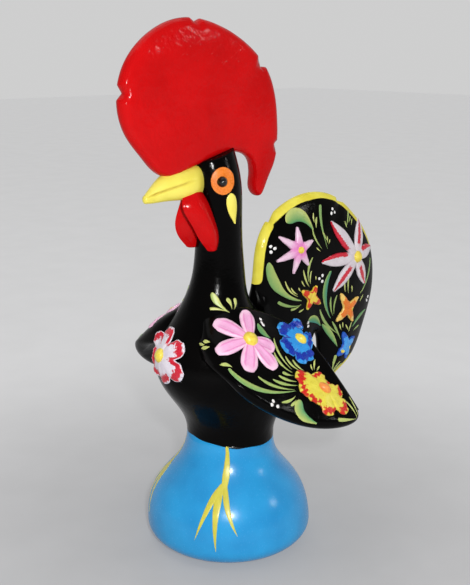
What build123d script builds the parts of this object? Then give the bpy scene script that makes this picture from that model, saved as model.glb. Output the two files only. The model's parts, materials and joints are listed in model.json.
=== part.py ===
from build123d import *
import os

# Painted clay cockerel on a bell-shaped foot, in millimetres, +Z up.
# The bird faces -Y and its left side is +X. The origin is the middle of the foot's flat underside.
os.makedirs("parts", exist_ok=True)

# Clay walls and joints
wall = 7.0
joint_clearance = 0.3

# Bell foot
foot_radius = 46.0
bell_radius = 64.0
bell_widest_height = 13.6
waist_radius = 33.3
waist_height = 87.0
waist_spigot_wall = 5.0
waist_spigot_length = 12.0
vent_radius = 4.0
vent_offset = 22.0

# Body, neck and head: each level's rise above the one below, its centre along Y and its half sizes
skirt_rise = 15.0
skirt_y = -1.0
skirt_half_width = 36.5
skirt_half_length = 38.0
belly_rise = 24.0
belly_y = -3.5
belly_half_width = 43.0
belly_half_length = 51.0
breast_rise = 26.0
breast_y = -5.0
breast_half_width = 45.5
breast_half_length = 57.5
shoulder_rise = 20.0
shoulder_y = -8.0
shoulder_half_width = 38.0
shoulder_half_length = 46.0
collar_rise = 18.0
collar_y = -12.5
collar_half_width = 27.0
collar_half_length = 29.0
throat_rise = 22.0
throat_y = -11.0
throat_half_width = 19.4
throat_half_length = 20.0
neck_rise = 24.0
neck_y = -9.5
neck_half_width = 17.6
neck_half_length = 18.0
nape_rise = 26.0
nape_y = -9.5
nape_half_width = 17.2
nape_half_length = 17.8
head_rise = 22.0
head_y = -11.0
head_half_width = 17.0
head_half_length = 18.5
brow_rise = 16.0
brow_y = -13.0
brow_half_width = 14.2
brow_half_length = 17.0
crown_rise = 16.0
crown_y = -15.0
crown_half_width = 9.0
crown_half_length = 13.0
comb_seat_drop = 9.0
comb_seat_tilt = 16.0
neck_bore_radius = 9.0
neck_bore_length = 48.0
neck_spigot_wall = 3.5
neck_spigot_length = 10.0

# Comb: closed outline as steps (back, up) from its seat's middle, from the front root over the top
comb_thickness = 14.0
comb_edge_round = 3.0
comb_outline = [
    (-45, -14), (-62, 0), (-75, 17), (-80, 36), (-75, 60), (-53, 83), (-26, 92.5), (4, 88.5), (28, 75),
    (48, 53), (58, 20), (56, -9), (48, -26), (39, -34), (32, -30), (31, -20), (29, -10), (20, 0), (0, -2),
    (-24, -9),
]
# Notches in the rims of comb and tail: a step (back, up) on the outline and the way the notch points
notch_width = 7.0
notch_depth = 7.0
comb_notches = [(-79.5, 42, 0), (-17, 92.5, -90), (42.5, 61, -135), (58.5, 6, 180)]
comb_tongue_length = 18.0
comb_tongue_depth = 9.0
comb_tongue_thickness = 6.0

# Beak: each station's step ahead of the head's middle, its rise and its half sizes
beak_stations = [
    (12.0, 4.0, 14.0, 12.0),
    (34.0, 2.0, 10.5, 11.2),
    (49.0, 0.5, 6.5, 9.6),
    (59.0, -3.5, 3.8, 5.4),
    (64.5, -6.0, 1.8, 2.4),
]
# Mouth groove: both ends as steps (ahead, up) from the head's middle
mouth_front = (63.0, -3.0)
mouth_rear = (34.0, 5.5)
mouth_depth = 1.2
mouth_width = 1.8
beak_peg_radius = 4.0
beak_peg_length = 8.0
beak_peg_root = 6.0
beak_peg_rise = 2.0

# Wattles: each station's share of the length, its step ahead of the neck's middle and its share of the width
wattle_top_drop = 3.0
wattle_length = 44.0
wattle_half_width = 8.8
wattle_half_thickness = 5.6
wattle_spread = 11.5
wattle_stations = [
    (0.0, 24.5, 0.45),
    (0.25, 24.5, 0.8),
    (0.55, 21.5, 1.0),
    (0.85, 17.5, 0.8),
    (1.0, 16.0, 0.35),
]

# Eyes: turned forwards from straight sideways
eye_half_width = 8.8
eye_half_height = 9.8
eye_relief = 1.0
eye_turn = 24.0
eye_rise = 3.6
eye_sink = 6.0
eye_stand = 6.0
pupil_radius = 4.1
pupil_relief = 1.6

# Wings: each station's root and rim as steps (out, back, up) from the breast's side, and its thickness
wing_thickness = 11.0
wing_end_thickness = 5.0
wing_crown = 2.5
wing_stations = [
    ((-15.5, -45, 20), (8.5, -45, 4), wing_end_thickness),
    ((-35.5, -29, 38), (19.5, -39, -6), wing_thickness),
    ((-25.5, -7, 42), (33.5, -9, -29), wing_thickness),
    ((-22.5, 17, 34), (45.5, 23, -42), wing_thickness),
    ((-3.5, 37, 20), (46.5, 51, -45), wing_thickness),
    ((16.5, 47, 0), (42.5, 60, -40), wing_end_thickness),
]

# Tail: closed outline as steps (back, up) from the breast's middle, from the saddle over the top
tail_rim_thickness = 8.0
tail_middle_thickness = 26.0
tail_crown_radius = 300.0
tail_middle = (101, 38)
tail_outline = [
    (29, 32), (32, 53), (35, 76), (43, 95), (61, 109), (87, 115.5), (115, 111), (140, 94), (158, 73),
    (167, 46), (166, 20), (157, -5), (143, -30), (127, -48), (116, -53), (112, -45), (117, -28), (113, -14),
    (101, -3), (85, 3.5), (65, 1), (46, 6), (33, 17),
]
tail_notches = [(36, 86, -20), (129, 104, -125)]
tail_tongue_rise = 8.0
tail_tongue_height = 24.0
tail_tongue_front = 29.0
tail_tongue_depth = 22.0
tail_tongue_thickness = 5.0

# Applied flowers: each stands proud of its host by the relief, and its bead by the bead relief more
petal_relief = 2.6
bead_relief = 2.2
hub_share = 1.5
petal_middle_share = 0.55
flower_sink = 7.0
flower_stand = 12.0
# Each flower: turn of its first petal, petal count, reach, petal half width, bead radius
breast_petals = (10, 7, 23.0, 5.6, 6.0)
shoulder_petals = (0, 6, 27.0, 6.6, 6.0)
wing_petals = (18, 5, 18.0, 7.2, 5.2)
wing_tip_petals = (10, 5, 19.0, 7.4, 5.0)
star_petals = (0, 6, 18.0, 3.2, 3.4)
daisy_petals = (37.5, 6, 27.0, 4.8, 5.2)
small_front_petals = (-26, 4, 9.5, 3.2, 0)
small_rear_petals = (38, 4, 11.5, 3.2, 0)
small_low_petals = (24, 4, 11.0, 3.4, 0)
# Flowers on wings: middle as a step (out, back, up) from the breast's side, and the way the flower faces
breast_flower_rise = 10.7
breast_flower_facing = (0, -0.92, 0.39)
shoulder_flower = (-4.5, -8.5, 23)
shoulder_flower_facing = (0.70, -0.27, 0.66)
wing_flower = (4.5, 34, 16)
wing_flower_facing = (0.78, -0.05, 0.62)
wing_tip_flower = (29.5, 33.5, -15.5)
wing_tip_flower_facing = (0.85, -0.05, 0.52)
# Flowers on the tail: middle as a step (back, up) from the breast's middle
star_flower = (69.8, 72.2)
daisy_flower = (140.2, 55.5)
small_front_flower = (82.7, 32.4)
small_rear_flower = (130.6, 14.6)
small_low_flower = (135, -22.7)

# Heights of the levels
skirt_z = waist_height + skirt_rise
belly_z = skirt_z + belly_rise
breast_z = belly_z + breast_rise
shoulder_z = breast_z + shoulder_rise
collar_z = shoulder_z + collar_rise
throat_z = collar_z + throat_rise
neck_z = throat_z + neck_rise
nape_z = neck_z + nape_rise
head_z = nape_z + head_rise
brow_z = head_z + brow_rise
crown_z = brow_z + crown_rise
core_levels = [
    (Plane.XY.offset(waist_height), (0, 0), waist_radius, waist_radius),
    (Plane.XY.offset(skirt_z), (0, skirt_y), skirt_half_width, skirt_half_length),
    (Plane.XY.offset(belly_z), (0, belly_y), belly_half_width, belly_half_length),
    (Plane.XY.offset(breast_z), (0, breast_y), breast_half_width, breast_half_length),
    (Plane.XY.offset(shoulder_z), (0, shoulder_y), shoulder_half_width, shoulder_half_length),
    (Plane.XY.offset(collar_z), (0, collar_y), collar_half_width, collar_half_length),
    (Plane.XY.offset(throat_z), (0, throat_y), throat_half_width, throat_half_length),
    (Plane.XY.offset(neck_z), (0, neck_y), neck_half_width, neck_half_length),
    (Plane.XY.offset(nape_z), (0, nape_y), nape_half_width, nape_half_length),
    (Plane.XY.offset(head_z), (0, head_y), head_half_width, head_half_length),
    (Plane.XY.offset(brow_z), (0, brow_y), brow_half_width, brow_half_length),
    (Plane.XY.offset(crown_z), (0, crown_y), crown_half_width, crown_half_length),
]
cavity_levels = core_levels[:6]
comb_seat_z = crown_z - comb_seat_drop
comb_seat = Plane(origin=(0, crown_y, comb_seat_z)).rotated((comb_seat_tilt, 0, 0))


# A smooth solid through ovals, each of two half ellipses, so that every station starts at the same place
def lofted_ovals(stations, growth):
    with BuildPart() as solid:
        for plane, centre, half_width, half_height in stations:
            with BuildSketch(plane):
                with BuildLine():
                    sizes = (half_width + growth, half_height + growth)
                    EllipticalCenterArc(centre, *sizes, start_angle=-90, arc_size=180)
                    EllipticalCenterArc(centre, *sizes, start_angle=90, arc_size=180)
                make_face()
        loft()
    return solid.part


# The outer form of body, neck and head in one, cut off at the comb's sloping seat
def bird_form(growth):
    with BuildPart() as form:
        add(lofted_ovals(core_levels, growth))
        split(bisect_by=comb_seat, keep=Keep.BOTTOM)
    return form.part


def save_piece(piece, name):
    piece.label = name
    export_step(piece, f"parts/{name}.step")


# A left-hand piece and its mirror image on the bird's right
def save_pair(piece, name):
    save_piece(piece, f"{name}_left")
    save_piece(mirror(piece, about=Plane.YZ), f"{name}_right")


bird = bird_form(0)

# Bell foot: a hollow bell, closed underneath, with a spigot that enters the body
waist_spigot_radius = waist_radius - wall - joint_clearance
waist_spigot_bore = waist_spigot_radius - waist_spigot_wall
ogee_handle = (waist_height - bell_widest_height) / 2
with BuildPart() as bell_foot:
    with BuildSketch(Plane.XZ):
        with BuildLine():
            Line((0, 0), (foot_radius, 0))
            EllipticalCenterArc(
                (foot_radius, bell_widest_height),
                bell_radius - foot_radius,
                bell_widest_height,
                start_angle=-90,
                arc_size=90,
            )
            Bezier(
                (bell_radius, bell_widest_height),
                (bell_radius, bell_widest_height + ogee_handle),
                (waist_radius, waist_height - ogee_handle),
                (waist_radius, waist_height),
            )
            Polyline(
                (waist_radius, waist_height),
                (waist_spigot_radius, waist_height),
                (waist_spigot_radius, waist_height + waist_spigot_length),
                (waist_spigot_bore, waist_height + waist_spigot_length),
                (waist_spigot_bore, waist_height),
            )
            Bezier(
                (waist_spigot_bore, waist_height),
                (waist_spigot_bore, waist_height - ogee_handle),
                (bell_radius - wall, bell_widest_height + ogee_handle),
                (bell_radius - wall, bell_widest_height),
            )
            Polyline((bell_radius - wall, bell_widest_height), (foot_radius, wall), (0, wall), (0, 0))
        make_face()
    revolve(axis=Axis.Z)
    with BuildSketch(Plane.XY):
        with Locations((0, vent_offset)):
            Circle(vent_radius)
    extrude(amount=wall, mode=Mode.SUBTRACT)
save_piece(bell_foot.part, "bell_foot")


# Body shell: the bird's form below the throat, hollow, open at the waist, the neck and the tail's slot
neck_spigot_radius = neck_bore_radius + neck_spigot_wall
tail_tongue_middle = (
    tail_tongue_front + tail_tongue_depth / 2,
    shoulder_z + tail_tongue_rise - tail_tongue_height / 2,
)
with BuildPart() as body_shell:
    add(bird)
    split(bisect_by=Plane.XY.offset(throat_z), keep=Keep.BOTTOM)
    add(lofted_ovals(cavity_levels, -wall), mode=Mode.SUBTRACT)
    with BuildSketch(Plane.XY.offset(throat_z)):
        with Locations((0, throat_y)):
            Circle(neck_spigot_radius + joint_clearance)
    extrude(amount=-throat_rise - wall, mode=Mode.SUBTRACT)
    with BuildSketch(Plane.YZ):
        with Locations(tail_tongue_middle):
            Rectangle(2 * tail_tongue_depth, tail_tongue_height + 2 * joint_clearance)
    extrude(amount=tail_tongue_thickness / 2 + joint_clearance, both=True, mode=Mode.SUBTRACT)
save_piece(body_shell.part, "body_shell")

# Head shell: neck and head above the throat, with a bore, a spigot into the body, a comb slot and a beak hole
beak_peg_front = head_y - head_half_length
with BuildPart() as head_shell:
    add(bird)
    split(bisect_by=Plane.XY.offset(throat_z), keep=Keep.TOP)
    with BuildSketch(Plane.XY.offset(throat_z)):
        with Locations((0, throat_y)):
            Circle(neck_spigot_radius)
    extrude(amount=-neck_spigot_length)
    with BuildSketch(Plane.XY.offset(throat_z - neck_spigot_length)):
        with Locations((0, throat_y)):
            Circle(neck_bore_radius)
    extrude(amount=neck_spigot_length + neck_bore_length, mode=Mode.SUBTRACT)
    with BuildSketch(comb_seat):
        Rectangle(comb_tongue_thickness + 2 * joint_clearance, comb_tongue_length + 2 * joint_clearance)
    extrude(amount=-comb_tongue_depth - joint_clearance, mode=Mode.SUBTRACT)
    with BuildSketch(Plane.XZ.offset(-beak_peg_front - beak_peg_length - joint_clearance)):
        with Locations((0, head_z + beak_peg_rise)):
            Circle(beak_peg_radius + joint_clearance)
    extrude(amount=2 * beak_peg_length, mode=Mode.SUBTRACT)
save_piece(head_shell.part, "head_shell")


# Corners of a notch that points along +X of its own place
notch_corners = [(-notch_depth, notch_width), (-notch_depth, -notch_width), (notch_depth, 0)]


# A step on the tail's outline as a point (Y, Z)
def tail_point(step):
    return (breast_y + step[0], breast_z + step[1])


# The outline of the tail as a slab in the middle plane
def tail_plate(thickness):
    with BuildPart() as plate:
        with BuildSketch(Plane.YZ):
            with BuildLine():
                Spline(*[tail_point(step) for step in tail_outline], periodic=True)
            make_face()
        extrude(amount=thickness / 2, both=True)
    return plate.part


# The two bulging faces of the tail, as one lens between two large spheres
tail_bulge_offset = tail_crown_radius - tail_middle_thickness / 2


def tail_lens(growth):
    with BuildPart() as lens:
        with Locations((-tail_bulge_offset, *tail_point(tail_middle))):
            Sphere(tail_crown_radius + growth, rotation=(0, 90, 0))
        with Locations((tail_bulge_offset, *tail_point(tail_middle))):
            Sphere(tail_crown_radius + growth, rotation=(0, 90, 0), mode=Mode.INTERSECT)
    return lens.part


# Tail: a lens-shaped slab with a thinner rim, and a tongue that enters the body's back
with BuildPart() as tail:
    add(tail_plate(tail_middle_thickness))
    add(tail_lens(0), mode=Mode.INTERSECT)
    add(tail_plate(tail_rim_thickness))
    with BuildSketch(Plane.YZ):
        for back, up, heading in tail_notches:
            with Locations(Location((*tail_point((back, up)), 0), (0, 0, heading))):
                Polygon(*notch_corners, align=None)
    extrude(amount=tail_middle_thickness, both=True, mode=Mode.SUBTRACT)
    add(bird, mode=Mode.SUBTRACT)
    with BuildSketch(Plane.YZ):
        with Locations(tail_tongue_middle):
            Rectangle(tail_tongue_depth, tail_tongue_height)
    extrude(amount=tail_tongue_thickness / 2, both=True)
save_piece(tail.part, "tail")


# A step on the comb's outline as a point (Y, Z)
def comb_point(step):
    return (crown_y + step[0], comb_seat_z + step[1])


# Comb: a flat slab with rounded edges and notches, and a tongue that enters the head
with BuildPart() as comb:
    with BuildSketch(Plane.YZ):
        with BuildLine():
            Spline(*[comb_point(step) for step in comb_outline], periodic=True)
        make_face()
    extrude(amount=comb_thickness / 2, both=True)
    fillet(comb.faces().filter_by(Axis.X).edges(), comb_edge_round)
    with BuildSketch(Plane.YZ):
        for back, up, heading in comb_notches:
            with Locations(Location((*comb_point((back, up)), 0), (0, 0, heading))):
                Polygon(*notch_corners, align=None)
    extrude(amount=comb_thickness, both=True, mode=Mode.SUBTRACT)
    add(bird, mode=Mode.SUBTRACT)
    with BuildSketch(comb_seat):
        Rectangle(comb_tongue_thickness, comb_tongue_length)
    extrude(amount=-comb_tongue_depth)
save_piece(comb.part, "comb")

# A curved slab through rounded sections, each from a root near the neck to the wing's rim
def lofted_wing(growth):
    with BuildPart() as wing:
        for root_step, rim_step, thickness in wing_stations:
            shoulder = Vector(breast_half_width, breast_y, breast_z)
            root = shoulder + Vector(*root_step)
            rim = shoulder + Vector(*rim_step)
            chord = (rim - root).normalized()
            along = Vector(0, 1, 0) - chord * chord.dot(Vector(0, 1, 0))
            end = (rim - root).length / 2 + growth
            half = thickness / 2 + growth
            with BuildSketch(Plane(origin=(root + rim) / 2, x_dir=chord, z_dir=along)):
                with BuildLine():
                    ThreePointArc((half - end, -half), (0, -half - wing_crown), (end - half, -half))
                    ThreePointArc((end - half, -half), (end, 0), (end - half, half))
                    ThreePointArc((end - half, half), (0, half + wing_crown), (half - end, half))
                    ThreePointArc((half - end, half), (-end, 0), (half - end, -half))
                make_face()
        loft()
    return wing.part


# Wings: curved slabs whose inner sides follow the body
wing_form = lofted_wing(0)
with BuildPart() as wing_left:
    add(wing_form)
    add(bird, mode=Mode.SUBTRACT)
save_pair(wing_left.part, "wing")

# Eye discs, each with a pupil on top
eye_direction = Vector(1, 0, 0).rotate(Axis.Z, -eye_turn)
eye_middle = Vector(0, head_y, head_z + eye_rise) + eye_direction * head_half_width
eye_plane = Plane(origin=eye_middle - eye_direction * eye_sink, x_dir=(0, 0, 1), z_dir=eye_direction)
eye_form = bird_form(eye_relief)
with BuildPart() as eye:
    with BuildSketch(eye_plane):
        Ellipse(eye_half_height, eye_half_width)
    extrude(amount=eye_sink + eye_stand)
    add(eye_form, mode=Mode.INTERSECT)
    add(bird, mode=Mode.SUBTRACT)
save_pair(eye.part, "eye")
with BuildPart() as pupil:
    with BuildSketch(eye_plane):
        Circle(pupil_radius)
    extrude(amount=eye_sink + eye_stand)
    add(bird_form(eye_relief + pupil_relief), mode=Mode.INTERSECT)
    add(eye_form, mode=Mode.SUBTRACT)
save_pair(pupil.part, "pupil")


# Beak: a curved cone that follows the head, with a mouth groove on both sides and a peg into the head
def beak_form(growth):
    stations = []
    for ahead, rise, half_width, half_height in beak_stations:
        stations.append((Plane.XZ.offset(ahead - head_y), (0, head_z + rise), half_width, half_height))
    return lofted_ovals(stations, growth)


mouth_ends = [(head_y - ahead, head_z + rise) for ahead, rise in (mouth_front, mouth_rear)]
with BuildPart() as mouth_groove:
    with BuildSketch(Plane.YZ):
        with BuildLine():
            Line(*mouth_ends)
        trace(line_width=mouth_width)
    extrude(amount=head_half_width, both=True)
    add(beak_form(-mouth_depth), mode=Mode.SUBTRACT)
with BuildPart() as beak:
    add(beak_form(0))
    add(mouth_groove.part, mode=Mode.SUBTRACT)
    for neighbour in (bird, comb.part, eye.part, mirror(eye.part, about=Plane.YZ)):
        add(neighbour, mode=Mode.SUBTRACT)
    with BuildSketch(Plane.XZ.offset(-beak_peg_front - beak_peg_length)):
        with Locations((0, head_z + beak_peg_rise)):
            Circle(beak_peg_radius)
    extrude(amount=beak_peg_length + beak_peg_root)
save_piece(beak.part, "beak")

# Wattles: flat drops that hang from the beak along the throat
wattle_ovals = []
for length_share, ahead, width_share in wattle_stations:
    level = Plane.XY.offset(head_z - wattle_top_drop - length_share * wattle_length)
    middle = (wattle_spread, neck_y - ahead)
    wattle_ovals.append((level, middle, wattle_half_thickness * width_share, wattle_half_width * width_share))
with BuildPart() as wattle:
    add(lofted_ovals(wattle_ovals, 0))
    add(bird, mode=Mode.SUBTRACT)
    add(beak.part, mode=Mode.SUBTRACT)
save_pair(wattle.part, "wattle")


# Petals pressed onto hosts: the flower's outline between the hosts and their form grown by the petal relief
def flower_piece(plane, petals, grown, hosts):
    turn, count, reach, half_width, bead_radius = petals
    with BuildPart() as flower:
        with BuildSketch(plane):
            Circle(hub_share * half_width)
            with PolarLocations(petal_middle_share * reach, count, start_angle=turn):
                Ellipse((1 - petal_middle_share) * reach, half_width)
        extrude(amount=flower_sink + flower_stand)
        add(grown, mode=Mode.INTERSECT)
        for host in hosts:
            add(host, mode=Mode.SUBTRACT)
    return flower.part


# The bead in the middle of a flower, on top of its petals
def bead_piece(plane, petals, grown, petal_top):
    with BuildPart() as bead:
        with BuildSketch(plane):
            Circle(petals[-1])
        extrude(amount=flower_sink + flower_stand)
        add(grown, mode=Mode.INTERSECT)
        add(petal_top, mode=Mode.SUBTRACT)
    return bead.part


# A flower's plane, sunk below its middle, with its first petal pointing up
def flower_plane(middle, facing, sink):
    outward = Vector(*facing).normalized()
    upward = Vector(0, 0, 1) - outward * outward.Z
    return Plane(origin=Vector(*middle) - outward * sink, x_dir=upward, z_dir=outward)


# Flower on the breast
bead_top = petal_relief + bead_relief
breast_front = (0, breast_y - breast_half_length, breast_z + breast_flower_rise)
breast_plane = flower_plane(breast_front, breast_flower_facing, 2 * flower_sink)
bird_petal_top = bird_form(petal_relief)
bird_bead_top = bird_form(bead_top)
save_piece(flower_piece(breast_plane, breast_petals, bird_petal_top, [bird]), "breast_flower")
save_piece(bead_piece(breast_plane, breast_petals, bird_bead_top, bird_petal_top), "breast_bead")

# Flowers on the wings
wing_petal_top = bird_petal_top + lofted_wing(petal_relief)
wing_bead_top = bird_bead_top + lofted_wing(bead_top)
wing_side = Vector(breast_half_width, breast_y, breast_z)
wing_flowers = [
    ("shoulder", shoulder_flower, shoulder_flower_facing, shoulder_petals),
    ("wing", wing_flower, wing_flower_facing, wing_petals),
    ("wing_tip", wing_tip_flower, wing_tip_flower_facing, wing_tip_petals),
]
for name, step, facing, petals in wing_flowers:
    plane = flower_plane(wing_side + Vector(*step), facing, flower_sink)
    save_pair(flower_piece(plane, petals, wing_petal_top, [wing_form, bird]), f"{name}_flower")
    save_pair(bead_piece(plane, petals, wing_bead_top, wing_petal_top), f"{name}_bead")

# Flowers on both faces of the tail, the small ones without a bead
tail_petal_top = tail_lens(petal_relief)
tail_bead_top = tail_lens(bead_top)
tail_flowers = [
    ("tail_star", star_flower, star_petals),
    ("tail_daisy", daisy_flower, daisy_petals),
    ("tail_small_front", small_front_flower, small_front_petals),
    ("tail_small_rear", small_rear_flower, small_rear_petals),
    ("tail_small_low", small_low_flower, small_low_petals),
]
for name, step, petals in tail_flowers:
    plane = flower_plane((0, *tail_point(step)), (1, 0, 0), 0)
    save_pair(flower_piece(plane, petals, tail_petal_top, [tail_lens(0), tail.part]), name)
    if petals[-1] > 0:
        save_pair(bead_piece(plane, petals, tail_bead_top, tail_petal_top), f"{name}_bead")
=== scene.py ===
import json
import math

import bmesh
import bpy
import numpy as np
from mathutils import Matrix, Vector, noise
from mathutils.geometry import delaunay_2d_cdt

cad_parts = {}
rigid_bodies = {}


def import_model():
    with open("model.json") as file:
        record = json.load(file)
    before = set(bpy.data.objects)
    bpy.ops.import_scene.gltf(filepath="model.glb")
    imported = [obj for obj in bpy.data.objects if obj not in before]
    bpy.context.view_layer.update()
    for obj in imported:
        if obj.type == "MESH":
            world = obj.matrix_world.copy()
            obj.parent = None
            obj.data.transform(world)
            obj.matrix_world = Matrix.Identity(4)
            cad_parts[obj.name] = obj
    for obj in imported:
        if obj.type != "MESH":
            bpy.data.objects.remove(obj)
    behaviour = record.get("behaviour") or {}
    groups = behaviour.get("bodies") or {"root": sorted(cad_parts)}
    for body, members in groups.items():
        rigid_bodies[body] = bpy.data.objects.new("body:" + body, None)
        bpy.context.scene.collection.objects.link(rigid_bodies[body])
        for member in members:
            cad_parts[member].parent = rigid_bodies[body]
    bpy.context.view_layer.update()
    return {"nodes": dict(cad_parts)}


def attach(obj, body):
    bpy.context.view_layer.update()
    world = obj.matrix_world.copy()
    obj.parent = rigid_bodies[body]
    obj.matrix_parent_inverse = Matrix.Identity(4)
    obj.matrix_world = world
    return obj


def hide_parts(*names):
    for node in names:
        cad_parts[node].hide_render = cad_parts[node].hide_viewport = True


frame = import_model()
print("frame loaded with", len(frame["nodes"]), "nodes")

mm = 0.001


# sRGB hex text to the linear colour that shaders use
def toLinear(hexText):
    values = [int(hexText[i:i + 2], 16) / 255 for i in (1, 3, 5)]
    return tuple(v / 12.92 if v <= 0.04045 else ((v + 0.055) / 1.055) ** 2.4 for v in values) + (1.0,)


# adds a node with its settings; inputs go by name or in order, and each is a value, a socket,
# or a node, which then gives its first live output
def addNode(tree, kind, settings=None, inputs=()):
    node = tree.nodes.new(kind)
    for key, value in (settings or {}).items():
        setattr(node, key, value)
    for key, value in inputs.items() if isinstance(inputs, dict) else enumerate(inputs):
        if isinstance(value, bpy.types.Node):
            value = next(output for output in value.outputs if output.enabled)
        if isinstance(value, bpy.types.NodeSocket):
            tree.links.new(value, node.inputs[key])
        else:
            node.inputs[key].default_value = value
    return node


# node kinds and settings that many trees share; a soft step takes a value, where it starts and where it ends
mathNode, vectorNode, stepNode, mixNode = (
    "ShaderNode" + name for name in ("Math", "VectorMath", "MapRange", "Mix"))
times, plus, minus, larger, unsigned, timesPlus = (
    {"operation": name} for name in ("MULTIPLY", "ADD", "SUBTRACT", "MAXIMUM", "ABSOLUTE", "MULTIPLY_ADD"))
softly, inColour = {"interpolation_type": "SMOOTHSTEP"}, {"data_type": "RGBA"}
falling = (1.0, 0.0)  # turns a soft step round


def clamped(value):
    return min(1, max(0, value))


# height of a quarter round at its share from the edge
def quarterRound(share):
    return math.sqrt(1 - (1 - min(1, share)) ** 2)


def turns(count):
    return [2 * math.pi * k / count for k in range(count)]


# natural cubic through rows of numbers at rising knots
def cubicThrough(knots, rows):
    knots, rows = np.array(knots, float), np.array(rows, float)
    gaps, count = np.diff(knots), len(knots)
    system, right = np.eye(count), np.zeros_like(rows)
    for i in range(1, count - 1):
        system[i, i - 1:i + 2] = gaps[i - 1], 2 * (gaps[i - 1] + gaps[i]), gaps[i]
        right[i] = 6 * ((rows[i + 1] - rows[i]) / gaps[i] - (rows[i] - rows[i - 1]) / gaps[i - 1])
    bend = np.linalg.solve(system, right)

    def at(t):
        i = int(np.clip(np.searchsorted(knots, t) - 1, 0, count - 2))
        a = (knots[i + 1] - t) / gaps[i]
        b = 1 - a
        return a * rows[i] + b * rows[i + 1] + ((a ** 3 - a) * bend[i] + (b ** 3 - b) * bend[i + 1]) * gaps[i] ** 2 / 6
    return at


# smooth closed outline through given points, evenly sampled
def closedCurve(points, count):
    overlap = 4
    rows = np.array(points[-overlap:] + points + points[:overlap + 1], float)
    knots = np.concatenate(([0], np.cumsum(np.linalg.norm(np.diff(rows, axis=0), axis=1))))
    at = cubicThrough(knots, rows)
    return np.array([at(t) for t in np.linspace(knots[overlap], knots[overlap + len(points)], count, endpoint=False)])


# slow waviness of hand-shaped clay, in mm, at a point in mm
def clayWave(point, size, amount, seed):
    return amount * noise.noise(Vector(point) / size + Vector((seed, 3.1 * seed, 7.7 * seed)))


# links a mesh, camera or light to the scene as an object
def addObject(name, data):
    made = bpy.data.objects.new(name, data)
    bpy.context.scene.collection.objects.link(made)
    return made


# merges points closer than the given mm, turns the faces outwards and shades them smooth
def finishMesh(mesh, merge=0):
    work = bmesh.new()
    work.from_mesh(mesh)
    if merge:
        bmesh.ops.remove_doubles(work, verts=work.verts, dist=merge * mm)
    bmesh.ops.recalc_face_normals(work, faces=work.faces)
    work.to_mesh(mesh)
    work.free()
    mesh.shade_smooth()


# an object from points in mm, with its own values kept on the points
def makePiece(name, points, faces, material=None, values=None, edges=(), merge=0):
    mesh = bpy.data.meshes.new(name)
    mesh.from_pydata([Vector(p) * mm for p in points], edges, faces)
    for key, row in (values or {}).items():
        mesh.attributes.new(key, "FLOAT", "POINT").data.foreach_set("value", row)
    finishMesh(mesh, merge)
    if material:
        mesh.materials.append(material)
    return addObject(name, mesh)


# quads between rings of equal count, with a fan at both ends
def loftPiece(name, rings, material=None, values=None):
    count, last = len(rings[0]), (len(rings) - 1) * len(rings[0])
    pairs = [(k, (k + 1) % count) for k in range(count)]
    faces = [(r + k, r + n, r + count + n, r + count + k) for r in range(0, last, count) for k, n in pairs]
    for k, n in pairs:
        faces += [(last + count, n, k), (last + count + 1, last + k, last + n)]
    points = [p for ring in rings for p in ring] + [np.mean(ring, axis=0) for ring in (rings[0], rings[-1])]
    return makePiece(name, points, faces, material, values)


tipTurns = (25, 50, 70, 84)  # degrees round a tip


# places from first to last at full size, then smaller ones round a tip beyond the last
def tippedSteps(first, last, count, tip):
    steps = [(first + (last - first) * i / count, 1.0) for i in range(count + 1)]
    reach = math.copysign(tip, last - first)
    return steps + [(last + reach * math.sin(turn), math.cos(turn)) for turn in np.radians(tipTurns)]


# the right-hand piece as a mirror image of the left-hand one
def mirrored(piece, name):
    mesh = piece.data.copy()
    mesh.name = name
    for vertex in mesh.vertices:
        vertex.co.x *= -1
    mesh.flip_normals()
    return addObject(name, mesh)


def dress(piece, slotName, *nodes):
    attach(piece, "root")
    if nodes:
        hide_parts(*nodes)
    return piece


# an empty node material, its tree and its Object coordinates
def newMaterial(name):
    material = bpy.data.materials.new(name)
    material.use_nodes = True
    tree = material.node_tree
    tree.nodes.clear()
    return material, tree, addNode(tree, "ShaderNodeTexCoord").outputs["Object"]


# gloss enamel: brushed over fired clay, so colour is a little uneven, and the surface keeps
# soft hand-smoothing waves and a fine grit under a hard shine; sizes and depths in mm,
# with the grit drawn coarser than it is so that it shows
enamelLook = {"wave": 11, "waveDepth": 0.30, "grit": 1.3, "gritDepth": 0.045, "gritSpan": (0.35, 0.75),
              "rough": 0.17, "roughSpread": 0.10, "shine": 0.5, "ior": 1.5}


# reads names the piece's own values that the paint follows
def gloss(name, paint, look=None, reads=()):
    look = {**enamelLook, **(look or {})}
    material, tree, place = newMaterial(name)
    relief = {}
    for label, detail in (("wave", 2.0), ("grit", 3.0)):  # the grit's bump stands on the wave's
        grain = addNode(tree, "ShaderNodeTexNoise", None, {
            "Vector": place, "Scale": 1 / (look[label] * mm), "Detail": detail})
        relief["Normal"] = addNode(tree, "ShaderNodeBump", None, {
            "Strength": 1.0, "Distance": look[label + "Depth"] * mm, "Height": grain, **relief})
    rough = addNode(tree, stepNode, None, (
        grain, *look["gritSpan"], look["rough"], look["rough"] + look["roughSpread"]))
    own = [addNode(tree, "ShaderNodeAttribute", {"attribute_name": key}).outputs["Fac"] for key in reads]
    shader = addNode(tree, "ShaderNodeBsdfPrincipled", None, {
        "Base Color": paint(tree, place, *own), "Roughness": rough, "IOR": look["ior"],
        "Specular IOR Level": look["shine"], **relief})
    addNode(tree, "ShaderNodeOutputMaterial", None, {"Surface": shader})
    return material


patchStops = (0.32, 0.68)  # noise at which the deep and the light shade are reached


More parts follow.
